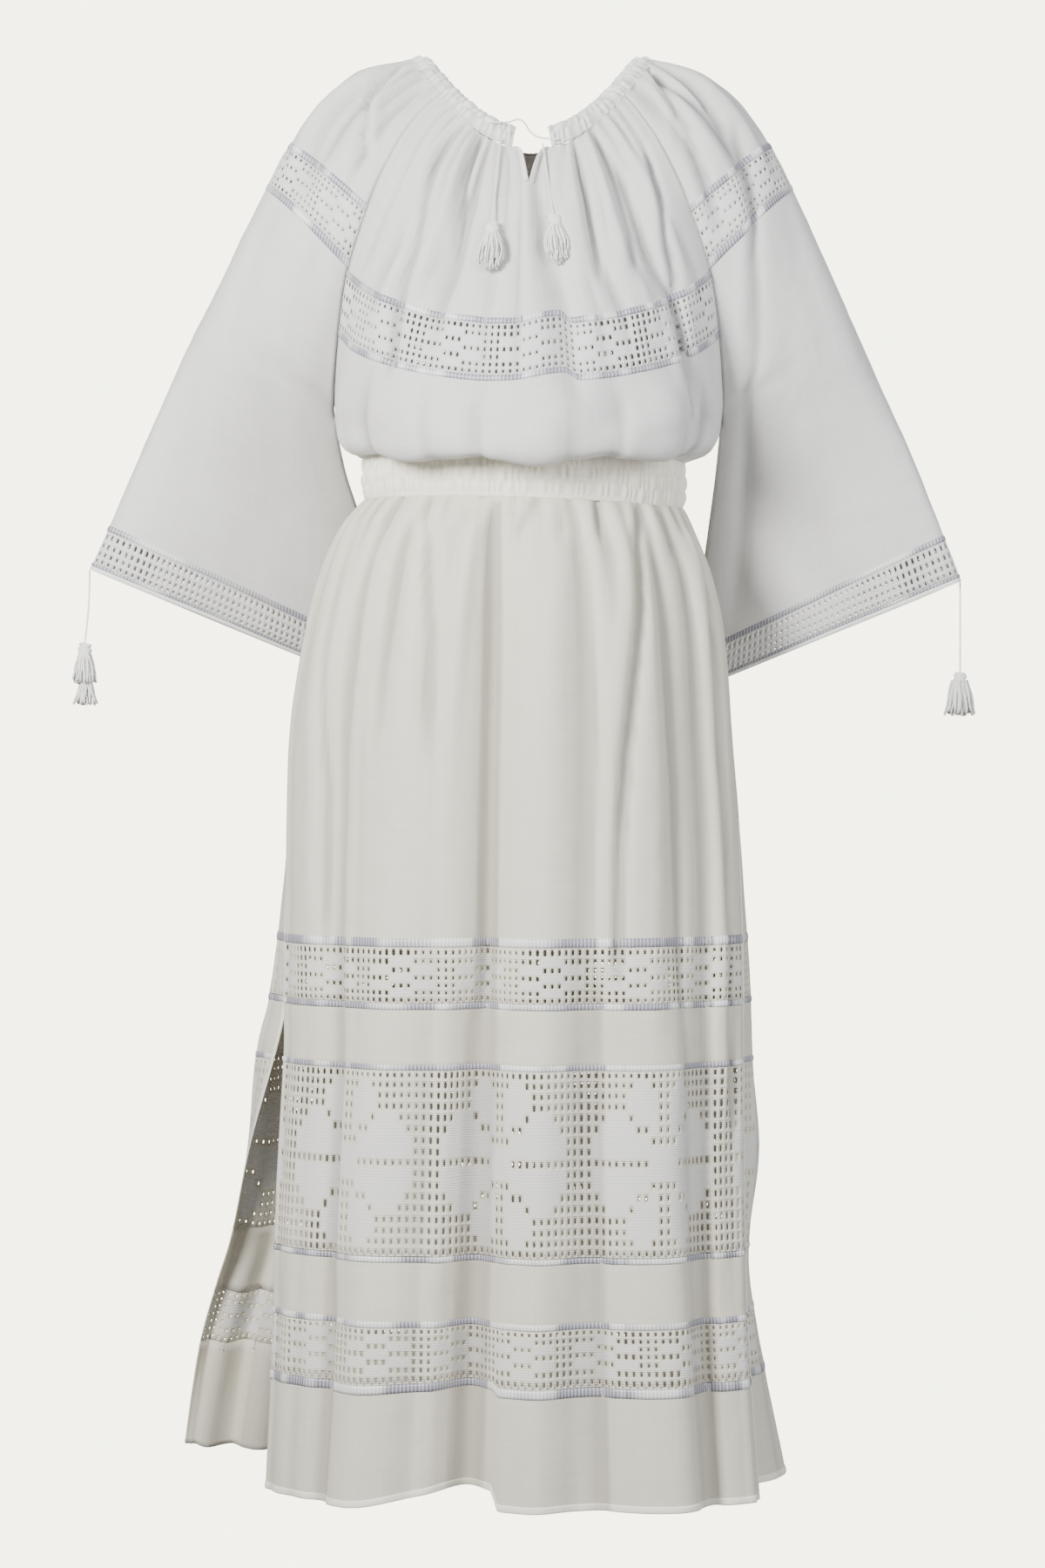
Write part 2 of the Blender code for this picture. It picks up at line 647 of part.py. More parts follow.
LOW_TASSEL = (3.2 * MM, 5 * MM, 17 * MM, 10 * MM, 0.8)


def make_cords(look, group):
    make_cord("cord_neck_bridge", np.array(NECK_BRIDGE) * MM, look, group)
    for side, (route, down) in NECK_CORDS.items():
        route = np.array(route) * MM
        down = np.array(down) / np.linalg.norm(down)
        place = route[-1] + down * 1.5 * SEAM
        make_cord("cord_neck_" + side, route, look, group)
        make_tassel("tassel_neck_" + side, place, NECK_TASSEL, look, group, down)
    for side, sign in SIDES.items():
        corner = sleeve(np.array([[0.5]]), np.array([[11.0]]), side)[0, 0]
        corner[2] -= SEAM + 0.2 * MM
        for name, drop, sway, sizes in CUFF_TASSELS[side]:
            make_cord("cord_cuff_" + side, hanging_cord(corner, drop, sway), look, group)
            place = corner + (sway, 0, -drop - SEAM)
            make_tassel(name, place, sizes, look, group)
        if side == "right":
            low = place + (1 * MM, 0, -0.6 * sizes[1] - 0.92 * sizes[2] - SEAM)
            make_tassel("tassel_cuff_right_low", low, LOW_TASSEL, look, group)


def main():
    for old in list(bpy.data.objects):
        bpy.data.objects.remove(old)
    group = bpy.data.collections.new("midi_dress")
    bpy.context.scene.collection.children.link(group)
    upper = material("cotton_cool", (0.80, 0.80, 0.81), 0.85)
    lower = material("cotton_warm", (0.82, 0.81, 0.77), 0.85)
    string = material("cord_white", (0.82, 0.82, 0.79), 0.8)
    make_bodice_front(upper, group)
    make_bodice_back(upper, group)
    for side in SIDES:
        make_sleeve(side, upper, group)
    make_casing(upper, group)
    make_label(string, group)
    make_waistband(lower, group)
    make_skirt_front(lower, group)
    make_skirt_back(lower, group)
    make_cords(string, group)


main()
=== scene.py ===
import math

import bmesh
import bpy
import numpy as np
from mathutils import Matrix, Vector


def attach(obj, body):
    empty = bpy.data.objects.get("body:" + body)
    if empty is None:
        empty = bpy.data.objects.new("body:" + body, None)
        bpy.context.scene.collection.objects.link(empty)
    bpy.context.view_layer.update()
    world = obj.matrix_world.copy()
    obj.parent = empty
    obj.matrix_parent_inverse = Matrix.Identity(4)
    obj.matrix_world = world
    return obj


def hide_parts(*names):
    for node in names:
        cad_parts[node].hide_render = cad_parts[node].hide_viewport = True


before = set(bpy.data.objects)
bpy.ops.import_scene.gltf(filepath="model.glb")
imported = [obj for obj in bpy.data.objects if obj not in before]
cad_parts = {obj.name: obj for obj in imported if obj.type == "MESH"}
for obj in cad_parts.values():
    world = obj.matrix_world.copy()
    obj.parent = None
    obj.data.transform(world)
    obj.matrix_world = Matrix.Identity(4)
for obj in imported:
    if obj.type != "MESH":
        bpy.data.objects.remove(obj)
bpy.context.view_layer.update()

# Metres, +Z up, the front faces -Y and the wearer's left is +X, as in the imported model.
MM = 0.001

# The photograph's frame: its scale in the dress's middle plane, and how far away its camera stands.
IMAGE_HEIGHT = 1800
METRES_PER_PIXEL = 0.00071
CAMERA_PLACE = (-0.002, -3.0, -0.5914)
SENSOR_HEIGHT_MM = 36
PAPER = (0.871, 0.85, 0.70)

WALL = 1.3 * MM
SEAM = 0.3 * MM
SEAM_ANGLED = 0.05 * MM
SIDES = {"right": -1, "left": 1}
BODY_CENTRE = 3 * MM

NECK_CENTRE = 5.5 * MM
NECK_HALF_WIDTH = 80 * MM
NECK_FRONT = 75 * MM
NECK_BACK = 71 * MM
NECK_SIDE_HEIGHT = -4.5 * MM
NECK_DIP_FRONT = 64.5 * MM
NECK_DIP_BACK = 60 * MM
CASING_WIDTH = 20 * MM
CASING_WALL = 2.2 * MM
CASING_PUFF = 2.5 * MM
SLIT_HALF_WIDTH = 12.5 * MM
SLIT_ROWS = 0.85
FRONT_SPLIT = math.radians(48)
BACK_SPLIT = math.radians(134)

WAIST_CENTRE = -1 * MM
WAIST_HALF_WIDTH = 131 * MM
WAIST_FRONT = 97 * MM
WAIST_BACK = 92 * MM
WAIST_TOP = -327 * MM
WAIST_BOTTOM = -364.5 * MM
WAIST_TILT = -0.03

CORD_RADIUS = 0.8 * MM


def table(text):
    """Named columns in metres from lines of millimetres under their names, but degrees and shares stay as they are."""
    names, *rows = [line.split() for line in text.split("\n") if line]
    units = [1 if name.endswith(("deg", "share")) else MM for name in names]
    return {name: np.array(column, float) * unit for name, unit, column in zip(names, units, zip(*rows))}


FRONT = table("""
seam_across seam_forward seam_height middle_forward middle_height spread_deg
83 57 -40 85 -87 60
103 73 -78 103 -125 60
117 76 -105 114 -165 62
128 73 -131 123 -199 65
144.5 58 -180 129 -229 72
153 40 -231 135 -279 80
157.5 12 -275 142 -306 88
157.5 -8 -292 146 -324 90
154 -4 -310 140 -338 90
143 0 -321 121 -338 90
131 0 -326.5 97 -326.5 90
""")
BACK = table("""
seam_across seam_forward seam_height middle_forward middle_height spread_deg
83 -55 -38 -82 -82 60
103 -68 -74 -94 -115 60
117 -73 -107 -101 -150 62
130 -74 -142 -106 -185 65
143 -66 -190 -109 -225 72
152 -50 -238 -111 -262 80
157.5 -26 -277 -114 -290 88
157.5 -8 -292 -115 -307 90
154 -4 -310 -110 -320 90
143 0 -321 -100 -328 90
131 0 -326.5 -92 -326.5 90
""")
INNER_SEAM = table("""
across_left across_right forward height
155 150 -36 -335
149 134 -74 -395
140 134 -94 -478
135 136 -103 -511
""")
SLEEVE = table("""
across height forward round_front round_back seam_front seam_back turn_front_deg turn_back_deg
99 -3 0 26 26 25 25 -35 -35
137 -13 0 45 42 30 30 -12 -12
167 -36 0 50 48 35 35 0 0
193 -72 0 52 52 38 38 10 10
213 -110 0 55 55 42 42 20 20
234 -150 -2 56 55 48 48 32 30
253.5 -190 -3 55 54 60 55 45 40
269 -222 -5 52 52 64 55 50 45
289 -265 -8 48 48 60 55 45 45
315.5 -321.6 -10 42 44 60 58 38 40
341 -384 -10 36 42 60 60 32 36
356 -421 -10 32 42 60 60 30 34
""")
UNDERARM_ROW = 7
CUFF_TILT = 5 * MM
SKIRT_HEIGHT = MM * np.array([-364.5, -385, -420, -470, -540, -620, -712, -768, -811, -888, -966, -1012, -1068, -1152])
SKIRT_FRONT = table("""
right left right_forward left_forward middle_forward
132 130 0 0 97
150 139 0 0 112
166 152 0 0 122
179 162 0 0 128
190 168 0 0 131
192.5 173 5 8 132
194 175 12 28 132
194 175 16 40 131
194 175 18 45 130
198 175 20 55 130
201.5 176 22 62 130
202 177 22 66 130
204 180 22 70 130
209 186 20 78 130
""")
SKIRT_BACK = table("""
right left right_forward left_forward middle_forward right_flank left_flank
132 130 0 0 -92 0 0
150 139 0 0 -104 0 0
166 152 0 0 -112 0 0
179 162 0 0 -118 0 0
190 168 0 0 -122 0 0
192.5 173 5 8 -124 4 3
194 175 12 28 -125 14 9
194 175 16 40 -126 24 14
203 172 6 42 -127 26 23
226 168 -30 44 -128 8 36
244 167 -66 47 -129 2 26
259 168 -86 50 -130 0 30
275 170 -106 53 -131 0 38
289 176 -130 60 -132 0 50
""")

# A fold is a ridge, or a hollow where its depth is negative. Places are shares of the panel's half width.
FOLD_COLUMNS = "top_share foot_share from_share to_share half_width_share top foot"
SKIRT_FRONT_FOLDS = table(FOLD_COLUMNS + """
-0.08 -0.16 0.6 14 0.10 -7 -34
-0.28 -0.46 0.4 14 0.16 5 14
0.08 0.02 0.5 14 0.12 6 14
0.52 0.42 0.5 9 0.09 -6 -5
0.30 0.40 0.8 14 0.22 3 22
-0.42 -0.40 0.4 5 0.06 -5 -3
-0.62 -0.72 0.5 14 0.10 4 -6
0.78 0.74 0.5 8 0.08 4 3
""")
SKIRT_BACK_FOLDS = table(FOLD_COLUMNS + """
0.10 0.16 0.5 14 0.13 -6 -22
-0.20 -0.24 0.5 14 0.16 6 12
0.42 0.48 0.5 14 0.18 5 12
-0.50 -0.56 0.6 14 0.10 -6 -18
0.70 0.68 0.8 14 0.08 -4 -8
-0.74 -0.78 4 14 0.12 2 -14
""")
BODICE_FRONT_FOLDS = table(FOLD_COLUMNS + """
0.06 0.16 0.2 6.5 0.10 -5 -7
-0.08 -0.04 0.3 7 0.16 3 5
0.30 0.42 0.1 6 0.14 4 6
-0.34 -0.46 0.1 5 0.09 -4 -3
0.62 0.70 0.1 4.5 0.08 -4 -3
-0.62 -0.70 0.1 6 0.12 4 5
""")
BODICE_BACK_FOLDS = table(FOLD_COLUMNS + """
0.0 0.04 0.1 7 0.12 -4 -4
-0.30 -0.38 0.1 6 0.12 4 4
0.32 0.40 0.1 6 0.12 4 4
""")
SLEEVE_FOLDS = table(FOLD_COLUMNS + """
0.30 0.24 0.2 4.6 0.09 -6 -4
0.42 0.36 0.2 9 0.10 3 4
0.70 0.72 0.2 5 0.10 -5 -4
0.16 0.26 3 12 0.10 2 -5
0.62 0.66 5 12 0.12 2 5
""")


# The rows of the panels' feet.
BODICE_FOOT = 10
SLEEVE_FOOT = 11
SKIRT_FOOT = 13


def along(values, row):
    """A smooth curve through one column, read at any row number."""
    values = np.asarray(values)
    last = len(values) - 1
    low = np.clip(np.floor(row).astype(int), 0, last - 1)
    share = row - low
    before = values[np.clip(low - 1, 0, last)]
    start = values[low]
    end = values[low + 1]
    after = values[np.clip(low + 2, 0, last)]
    slope = end - before
    bend = 2 * before - 5 * start + 4 * end - after
    twist = 3 * (start - end) + after - before
    return start + 0.5 * share * (slope + share * (bend + share * twist))


def columns_at(rows, r):
    """A reader of a table's smooth columns at one row number."""
    return lambda name: along(rows[name], r)


def eased(share):
    share = np.clip(share, 0, 1)
    return share * share * (3 - 2 * share)


def stack(x, y, z):
    return np.stack(np.broadcast_arrays(x, y, z), axis=-1)


def blend(first, second, share):
    share = share[..., None]
    return first * (1 - share) + second * share


def run_along(points):
    """How far each point lies along a line of points."""
    return np.concatenate([[0], np.cumsum(np.linalg.norm(np.diff(points, axis=0), axis=1))])


def normal(surface, a, b, step_a, step_b):
    """The unit normal of a surface in a and b, to the left of a as b runs down."""
    across = surface(a + step_a, b) - surface(a - step_a, b)
    down = surface(a, b + step_b) - surface(a, b - step_b)
    out = np.cross(down, across)
    return out / np.maximum(np.linalg.norm(out, axis=-1, keepdims=True), 1e-12)


def folds(rows, u, r, lean=0.0):
    """The height of all the folds of a table over its panel, steeper on their right where they lean."""
    height = np.zeros(np.broadcast(u, r).shape)
    for top_share, foot_share, first, last, half_width, top, foot in zip(*rows.values()):
        down = (r - first) / (last - first)
        middle = top_share + (foot_share - top_share) * down
        tall = top + (foot - top) * np.clip(down, 0, 1)
        fade = eased(down / 0.2) * np.where(last >= 12, 1, eased((1 - down) / 0.35))
        away = (u - middle) / half_width
        away = np.clip(np.abs(away) / (1 - lean * np.sign(away)), 0, 1)
        height += tall * fade * (0.5 + 0.5 * np.cos(math.pi * away))
    return height


def gathers(u, r, count, tall, reach, seed):
    """Waves that are full at the gathered edge, uneven in place and length, and gone after reach rows."""
    place = math.pi * count * u + 0.9 * np.sin(5.1 * u + seed) + 0.5 * np.sin(11.7 * u + 2 * seed)
    length = reach * (0.75 + 0.35 * np.sin(7.3 * u + 3 * seed))
    return tall * np.cos(place) * np.exp(-((np.maximum(r, 0) / length) ** 2))


def neck(theta, outward):
    """A point of the neck, theta round from the front, at a share of the casing's width from the open edge."""
    forward = np.cos(theta)
    level = np.sin(theta)
    deep = np.where(forward > 0, NECK_FRONT, NECK_BACK)
    dip = np.where(forward > 0, NECK_DIP_FRONT, NECK_DIP_BACK)
    away = CASING_WIDTH * outward
    x = NECK_CENTRE + (NECK_HALF_WIDTH + 0.95 * away) * level
    y = -(deep + 0.5 * away) * forward
    z = NECK_SIDE_HEIGHT - dip * forward**2 + away * (0.1 * level**2 - 0.9 * forward**2)
    return stack(x, y, z)


def waist(theta, height):
    """A point of the waist, theta round from the front."""
    deep = np.where(np.cos(theta) > 0, WAIST_FRONT, WAIST_BACK)
    x = WAIST_CENTRE + WAIST_HALF_WIDTH * np.sin(theta)
    return stack(x, -deep * np.cos(theta), height + WAIST_TILT * x)


def bodice(panel, u, r, back):
    """The front or back bodice's outer face, u from -1 to 1 across it and r from the neck to the waist."""
    facing = -1 if back else 1
    read = columns_at(panel, r)
    spread = np.radians(read("spread_deg"))
    turn = u * spread
    toward = (np.cos(turn) - np.cos(spread)) / (1 - np.cos(spread))
    x = BODY_CENTRE + read("seam_across") * np.sin(turn) / np.sin(spread)
    seam_y = -read("seam_forward")
    y = seam_y + (-read("middle_forward") - seam_y) * toward
    seam_z = read("seam_height")
    z = seam_z + (read("middle_height") - seam_z) * toward
    points = stack(x, y, z)
    split = math.pi - BACK_SPLIT if back else FRONT_SPLIT
    top = neck((math.pi - u * split) if back else u * split, 1.0 + SEAM_ANGLED / CASING_WIDTH)
    points = blend(top, points, eased(r))
    low = waist(u * math.pi / 2, WAIST_TOP + 2 * SEAM)
    low[..., 1] *= np.where(back, -WAIST_BACK / WAIST_FRONT, 1)
    points = blend(points, low, eased(r - BODICE_FOOT + 1))
    gap = np.abs(u) ** 12
    points[..., 0] -= np.sign(u) * gap * SEAM_ANGLED * (1 - eased(r - 6))
    points[..., 1] -= facing * gap * 0.5 * SEAM_ANGLED * eased(r - 6)
    return points


def sleeve(u, r, side):
    """A sleeve's outer face: u from 0 at the front seam, over the arm's outer side at a half, to 1 at the back seam."""
    sign = SIDES[side]
    inner = INNER_SEAM["across_" + side]
    keep = UNDERARM_ROW + 1
    starts = []
    for panel in (FRONT, BACK):
        across = np.concatenate([panel["seam_across"][:keep], inner])
        forward = np.concatenate([panel["seam_forward"][:keep], INNER_SEAM["forward"]])
        height = np.concatenate([panel["seam_height"][:keep], INNER_SEAM["height"]])
        starts.append(stack(along(across, r), -along(forward, r), along(height, r)))
    joined = np.asarray(r)[..., None] >= UNDERARM_ROW
    starts = [np.where(joined, 0.5 * (starts[0] + starts[1]), start) for start in starts]
    halves = []
    read = columns_at(SLEEVE, r)
    for seam, name in ((0, "front"), (1, "back")):
        facing = -1 if seam == 0 else 1
        start = starts[seam]
        end = stack(read("across"), -read("forward"), read("height"))
        out = (end - start) * np.array([1, 0, 1])
        out = out / np.linalg.norm(out, axis=-1, keepdims=True)
        turn = np.radians(read(f"turn_{name}_deg"))[..., None]
        ahead = np.array([0, facing, 0])
        handle = out * np.cos(turn) + ahead * np.sin(turn)
        first = start + handle * read("seam_" + name)[..., None]
        second = end + ahead * read("round_" + name)[..., None]
        share = np.clip((u - 1 if seam else u) * (-2 if seam else 2), 0, 1)[..., None]
        rest = 1 - share
        halves.append(rest**3 * start + 3 * rest**2 * share * first + 3 * rest * share**2 * second + share**3 * end)
    points = np.where(u[..., None] <= 0.5, halves[0], halves[1])
    down = r / (len(SLEEVE["across"]) - 1)
    points[..., 0] = BODY_CENTRE * (1 - down**3) + sign * points[..., 0]
    points[..., 2] -= sign * CUFF_TILT * down**2
    top = neck(sign * (FRONT_SPLIT + (BACK_SPLIT - FRONT_SPLIT) * u), 1.0 + SEAM_ANGLED / CASING_WIDTH)
    points = blend(top, points, eased(r))
    gap = np.abs(2 * u - 1) ** 12 * (1 - eased(r - UNDERARM_ROW))
    points[..., 0] += sign * gap * SEAM_ANGLED
    return points


def skirt(panel, u, r, back):
    """The front or back skirt's outer face, u from -1 to 1 across it and r from the waist to the hem."""
    facing = -1 if back else 1
    turn = u * math.pi / 2
    read = columns_at(panel, r)

    def beside(kind):
        return np.where(u > 0, read("left" + kind), read("right" + kind))

    x = beside("") * np.sin(turn)
    edge = beside("_forward")
    y = -(edge + (read("middle_forward") - edge) * np.cos(turn))
    if back:
        x = x + np.sign(u) * beside("_flank") * np.sin(math.pi * np.abs(u) ** 2)
    z = along(SKIRT_HEIGHT, r) + WAIST_TILT * x * (1 - eased(r / 3))
    points = stack(x, y, z)
    top = waist(turn, WAIST_BOTTOM - SEAM)
    top[..., 1] *= np.where(back, -WAIST_BACK / WAIST_FRONT, 1)
    points = blend(top, points, eased(r))
    points[..., 1] -= facing * np.abs(u) ** 12 * np.where(r < 4.5, 0.5 * SEAM, 0.6 * SEAM_ANGLED)
    return points


def grooves(u, r, count, deep, reach, seed, first=-1.0, last=1.0):
    """Narrow hollows that run down from a gathered edge, uneven in place, depth and length."""
    height = np.zeros(np.broadcast(u, r).shape)
    wide = (last - first) / count
    for k in range(count):
        start = first + wide * (k + 0.5 + 0.33 * math.sin(2.4 * k + seed))
        length = reach * (0.55 + 0.45 * math.sin(3.7 * k + 2 * seed))
        drift = 0.10 * wide * math.sin(1.9 * k + 3 * seed)
        half = wide * (0.16 + 0.10 * np.clip(r / reach, 0, 2))
        away = (u - start - drift * r) / half
        fade = np.exp(-((np.maximum(r, 0) / max(length, 0.2 * reach)) ** 2))
        height -= deep * (0.6 + 0.4 * math.sin(5.1 * k + seed)) * fade * np.exp(-(away**2))
    return height


def pleats(creases_down, half, u, r):
    """Sharp creases, each with a soft roll of cloth on its left."""
    height = np.zeros(np.broadcast(u, r).shape)
    for deep, places, rows in creases_down:
        away = (u - np.interp(r, rows, places)) / half
        fade = eased((r - rows[0] + 0.25) / 0.5) * eased((rows[-1] - r) / 0.9)
        height += deep * fade * (0.45 * np.exp(-(((away + 2.4) / 1.7) ** 2)) - np.exp(-(away**2)))
    return height


def creases(u, r, seed, across, tall):
    """Long soft creases that wander as they run down, for cloth that hangs."""
    wander = 0.5 * np.sin(0.9 * r + seed) + 0.35 * np.sin(1.7 * r + 2.1 * seed + 3 * u)
    first = np.sin(across * u + 2.0 * wander + seed)
    second = np.sin(1.63 * across * u - 1.4 * wander + 2.7 * seed)
    fade = 0.55 + 0.45 * np.sin(0.8 * r + 4.1 * u + 1.9 * seed)
    return tall * (0.6 * first + 0.4 * second) * fade


def crinkle(u, r, seed, across, tall):
    """Fine crumples left from washing."""
    first = np.sin(across * u + 1.7 * np.sin(5.3 * r + seed)) * np.sin(7.1 * r + 0.31 * across * u + seed)
    second = np.sin(0.57 * across * u - 2.3 * np.sin(3.1 * r + 2 * seed)) * np.sin(4.3 * r - 0.5 * across * u)
    return tall * (0.55 * first + 0.45 * second)


# The gathered cloth's own folds, finer than the main ones, as the photograph shows them.
CHEST_FOLDS = table(FOLD_COLUMNS + """
-0.80 -0.86 0.1 4.6 0.07 3 2
-0.62 -0.72 0.0 5.0 0.08 -5 -4
-0.47 -0.56 0.0 4.8 0.08 5 4
-0.33 -0.38 0.0 5.2 0.07 -8 -5
-0.19 -0.22 0.0 5.0 0.07 4 3
-0.06 -0.03 0.9 5.6 0.06 -4 -4
0.22 0.27 0.0 5.4 0.07 5 4
0.34 0.42 0.0 5.4 0.06 -9 -6
0.46 0.55 0.0 5.2 0.08 4 4
0.60 0.72 0.0 6.6 0.07 -9 -8
0.74 0.84 0.0 5.0 0.07 4 3
""")
BLOUSE_FOLDS = table(FOLD_COLUMNS + """
-0.84 -0.80 4.6 13 0.10 4 3
-0.66 -0.58 4.8 13 0.10 -5 -4
-0.44 -0.36 4.6 13 0.15 4 3
-0.18 -0.15 4.9 13 0.09 -4 -3
0.08 0.06 4.8 13 0.14 4 3
0.32 0.26 4.7 13 0.10 -5 -4
0.54 0.48 4.8 13 0.14 5 4
0.76 0.70 4.6 13 0.10 -8 -7
""")
LEAN = 0.5
CORD_PLACES = (-0.19, 0.11)
SHOULDER_FOLDS = table(FOLD_COLUMNS + """
0.10 0.10 0.0 3.6 0.05 -5 -3
0.19 0.16 0.0 3.0 0.05 4 3
0.27 0.22 0.0 3.4 0.04 -7 -4
0.37 0.33 0.0 4.0 0.06 4 3
0.45 0.43 0.0 3.4 0.04 -6 -4
0.56 0.56 0.0 3.6 0.06 4 3
0.66 0.68 0.0 3.4 0.05 -6 -4
0.80 0.82 0.0 3.4 0.06 4 3
0.90 0.90 0.0 3.0 0.05 -4 -3
""")
HANGING_FOLDS = table(FOLD_COLUMNS + """
-0.90 -0.92 0.2 14 0.07 4 6
-0.54 -0.56 0.2 14 0.08 -4 -7
-0.14 -0.24 0.2 7.0 0.07 4 3
0.20 0.22 0.2 14 0.07 -5 -5
0.42 0.50 2.0 14 0.09 3 6
0.64 0.62 0.2 14 0.08 -5 -8
0.88 0.84 0.2 14 0.07 4 5
""")


def sharp(text):
    """Sharp creases, one a line: its depth in millimetres, then u and r in turn down it, as the photograph shows it."""
    rows = [[float(word) for word in line.split()] for line in text.split("\n") if line]
    return [(row[0] * MM, row[1::2], row[2::2]) for row in rows]


FRONT_PLEATS = sharp("""
7 0.86 1.0 0.745 3.48 0.705 4.03 0.685 5.4 0.64 6.8
4 -0.125 0.4 -0.12 2.2 -0.10 3.0
6 -0.44 0.2 -0.39 1.8 -0.36 3.0
6 -0.66 0.6 -0.62 2.23 -0.59 3.48 -0.575 4.3 -0.55 5.4
5 0.385 0.3 0.355 1.78 0.35 3.5
4 0.56 0.3 0.57 2.4 0.50 3.8
4 -0.82 0.7 -0.84 2.4 -0.86 4.2
4 0.20 0.3 0.22 1.8
""")
BACK_PLEATS = sharp("""
5 -0.50 0.3 -0.46 2.0 -0.42 4.2
6 0.30 0.2 0.28 2.0 0.30 3.8
5 0.74 0.8 0.66 3.0 0.62 5.8
5 0.0 0.2 0.02 2.4
5 -0.80 0.8 -0.72 3.5 -0.66 6.2
""")
SLEEVE_PLEATS = {
    "right": sharp("""
6 0.41 0.7 0.42 2.0 0.43 3.2
7 0.36 0.4 0.253 1.1 0.188 1.45 0.11 2.05 0.09 2.7
5 0.68 0.4 0.76 1.5 0.84 2.8
6 0.60 0.8 0.66 3.0 0.72 6.0 0.74 9.8
"""),
    "left": sharp("""
7 0.24 0.3 0.156 1.03 0.124 1.73 0.094 2.5 0.066 4.0
4.5 0.31 2.4 0.229 3.7 0.171 4.4 0.084 6.7 0.092 8.85 0.10 10.2
4 0.13 0.8 0.12 1.15 0.066 1.9
5 0.34 0.6 0.296 1.48 0.259 2.35 0.214 3.4
5 0.66 0.4 0.74 1.7 0.80 3.0
6 0.62 0.9 0.68 4.0 0.70 9.8
"""),
}
SKIRT_FRONT_PLEATS = sharp("""
8 -0.10 0.6 -0.095 3.8 -0.10 5.4 -0.11 7.4
7 0.47 0.5 0.385 2.65 0.305 4.33 0.275 5.23 0.26 7.0
8 0.80 1.0 0.74 3.0 0.725 4.48 0.75 6.05 0.78 9.0
4 -0.38 0.4 -0.265 3.1 -0.25 4.6
4 -0.68 0.8 -0.67 3.28 -0.625 4.65 -0.62 6.4
5 0.03 0.3 -0.02 1.6
4 0.30 0.0 0.26 1.7
4 0.64 0.0 0.60 2.0
4 -0.55 0.0 -0.52 1.6
4 0.15 0.0 0.12 1.9
3 -0.22 0.0 -0.20 1.4
""")
SKIRT_BACK_PLEATS = sharp("""
7 -0.34 0.4 -0.38 3.0 -0.42 7.5
7 0.12 0.3 0.14 4.0 0.16 8.5
6 0.59 0.5 0.62 3.0 0.66 8.5
4 -0.70 0.0 -0.68 2.2
4 0.36 0.0 0.35 2.4
4 -0.10 0.0 -0.12 2.0
""")
CRINKLE = 0.3 * MM
BODICE_CREASE = 0.028
SLEEVE_CREASE = 0.026
SKIRT_CREASE = 0.024
CREASE_TOP = 0.09
CREASE_FOOT = 0.14
CREASE_LIFT = 8 * MM
HEM_DROP = 7 * MM
HEM_RISE = 15 * MM
# For the front and the back: how it's mirrored and stretched down, its gathers and its grooves by count, height,
# reach and seed, its long creases by seed and count, and its crinkle's seed.
BODICE_WAVES = {
    False: (1, 1, (20, 2.2 * MM, 1.6, 1.0), (22, 3.0 * MM, 3.2, 1.7), (0.7, 15), 0.4),
    True: (-1, 0.9, (13, 2.2 * MM, 1.5, 2.0), (20, 3.4 * MM, 4.0, 0.9), (2.2, 14), 1.4),
}


def bodice_relief(back):
    main, places = (BODICE_BACK_FOLDS, BACK_PLEATS) if back else (BODICE_FRONT_FOLDS, FRONT_PLEATS)
    mirror, stretch, gathered, grooved, long, seed = BODICE_WAVES[back]

    def relief(u, r):
        tall = folds(main, u, r) + folds(CHEST_FOLDS, mirror * u, stretch * r, LEAN)
        tall += folds(BLOUSE_FOLDS, mirror * u, r, LEAN)
        tall += gathers(u, r, *gathered)
        tall += grooves(u, r, *grooved) + creases(u, r, *long, 2.2 * MM) * eased(r / 2)
        tall += crinkle(u, r, seed, 34, CRINKLE) * eased(r) + pleats(places, BODICE_CREASE, u, r)
        for place in () if back else CORD_PLACES:  # the cloth lies flat under the drawstring's hanging ends
            beside = np.exp(-(((u - place) / 0.05) ** 2)) * eased((4.2 - r) / 1.2)
            tall -= beside * np.maximum(tall + 0.8 * MM, 0)
        held = (0.25 + 0.75 * eased((10 - r) / 1.2)) * (0.4 + 0.6 * eased(r / 0.5))
        return tall * (1 - np.abs(np.clip(u, -1, 1)) ** 8) * held

    return relief


def sleeve_relief(side):
    seed = 3.0 + SIDES[side]

    def relief(u, r):
        tall = folds(SLEEVE_FOLDS, u, r) + folds(SHOULDER_FOLDS, u, r, LEAN)
        tall += gathers(2 * u, r, 10, 2.2 * MM, 1.7, seed)
        tall += grooves(u, r, 13, 2.6 * MM, 2.2, seed, 0.0, 1.0)
        tall += creases(2 * u, r, seed, 11, 1.8 * MM) * eased(r / 2) + crinkle(2 * u, r, seed, 30, CRINKLE) * eased(r)
        tall += pleats(SLEEVE_PLEATS[side], SLEEVE_CREASE, u, r)
        return tall * (1 - np.abs(np.clip(2 * u - 1, -1, 1)) ** 10) * (0.4 + 0.6 * eased(r / 0.5))

    return relief


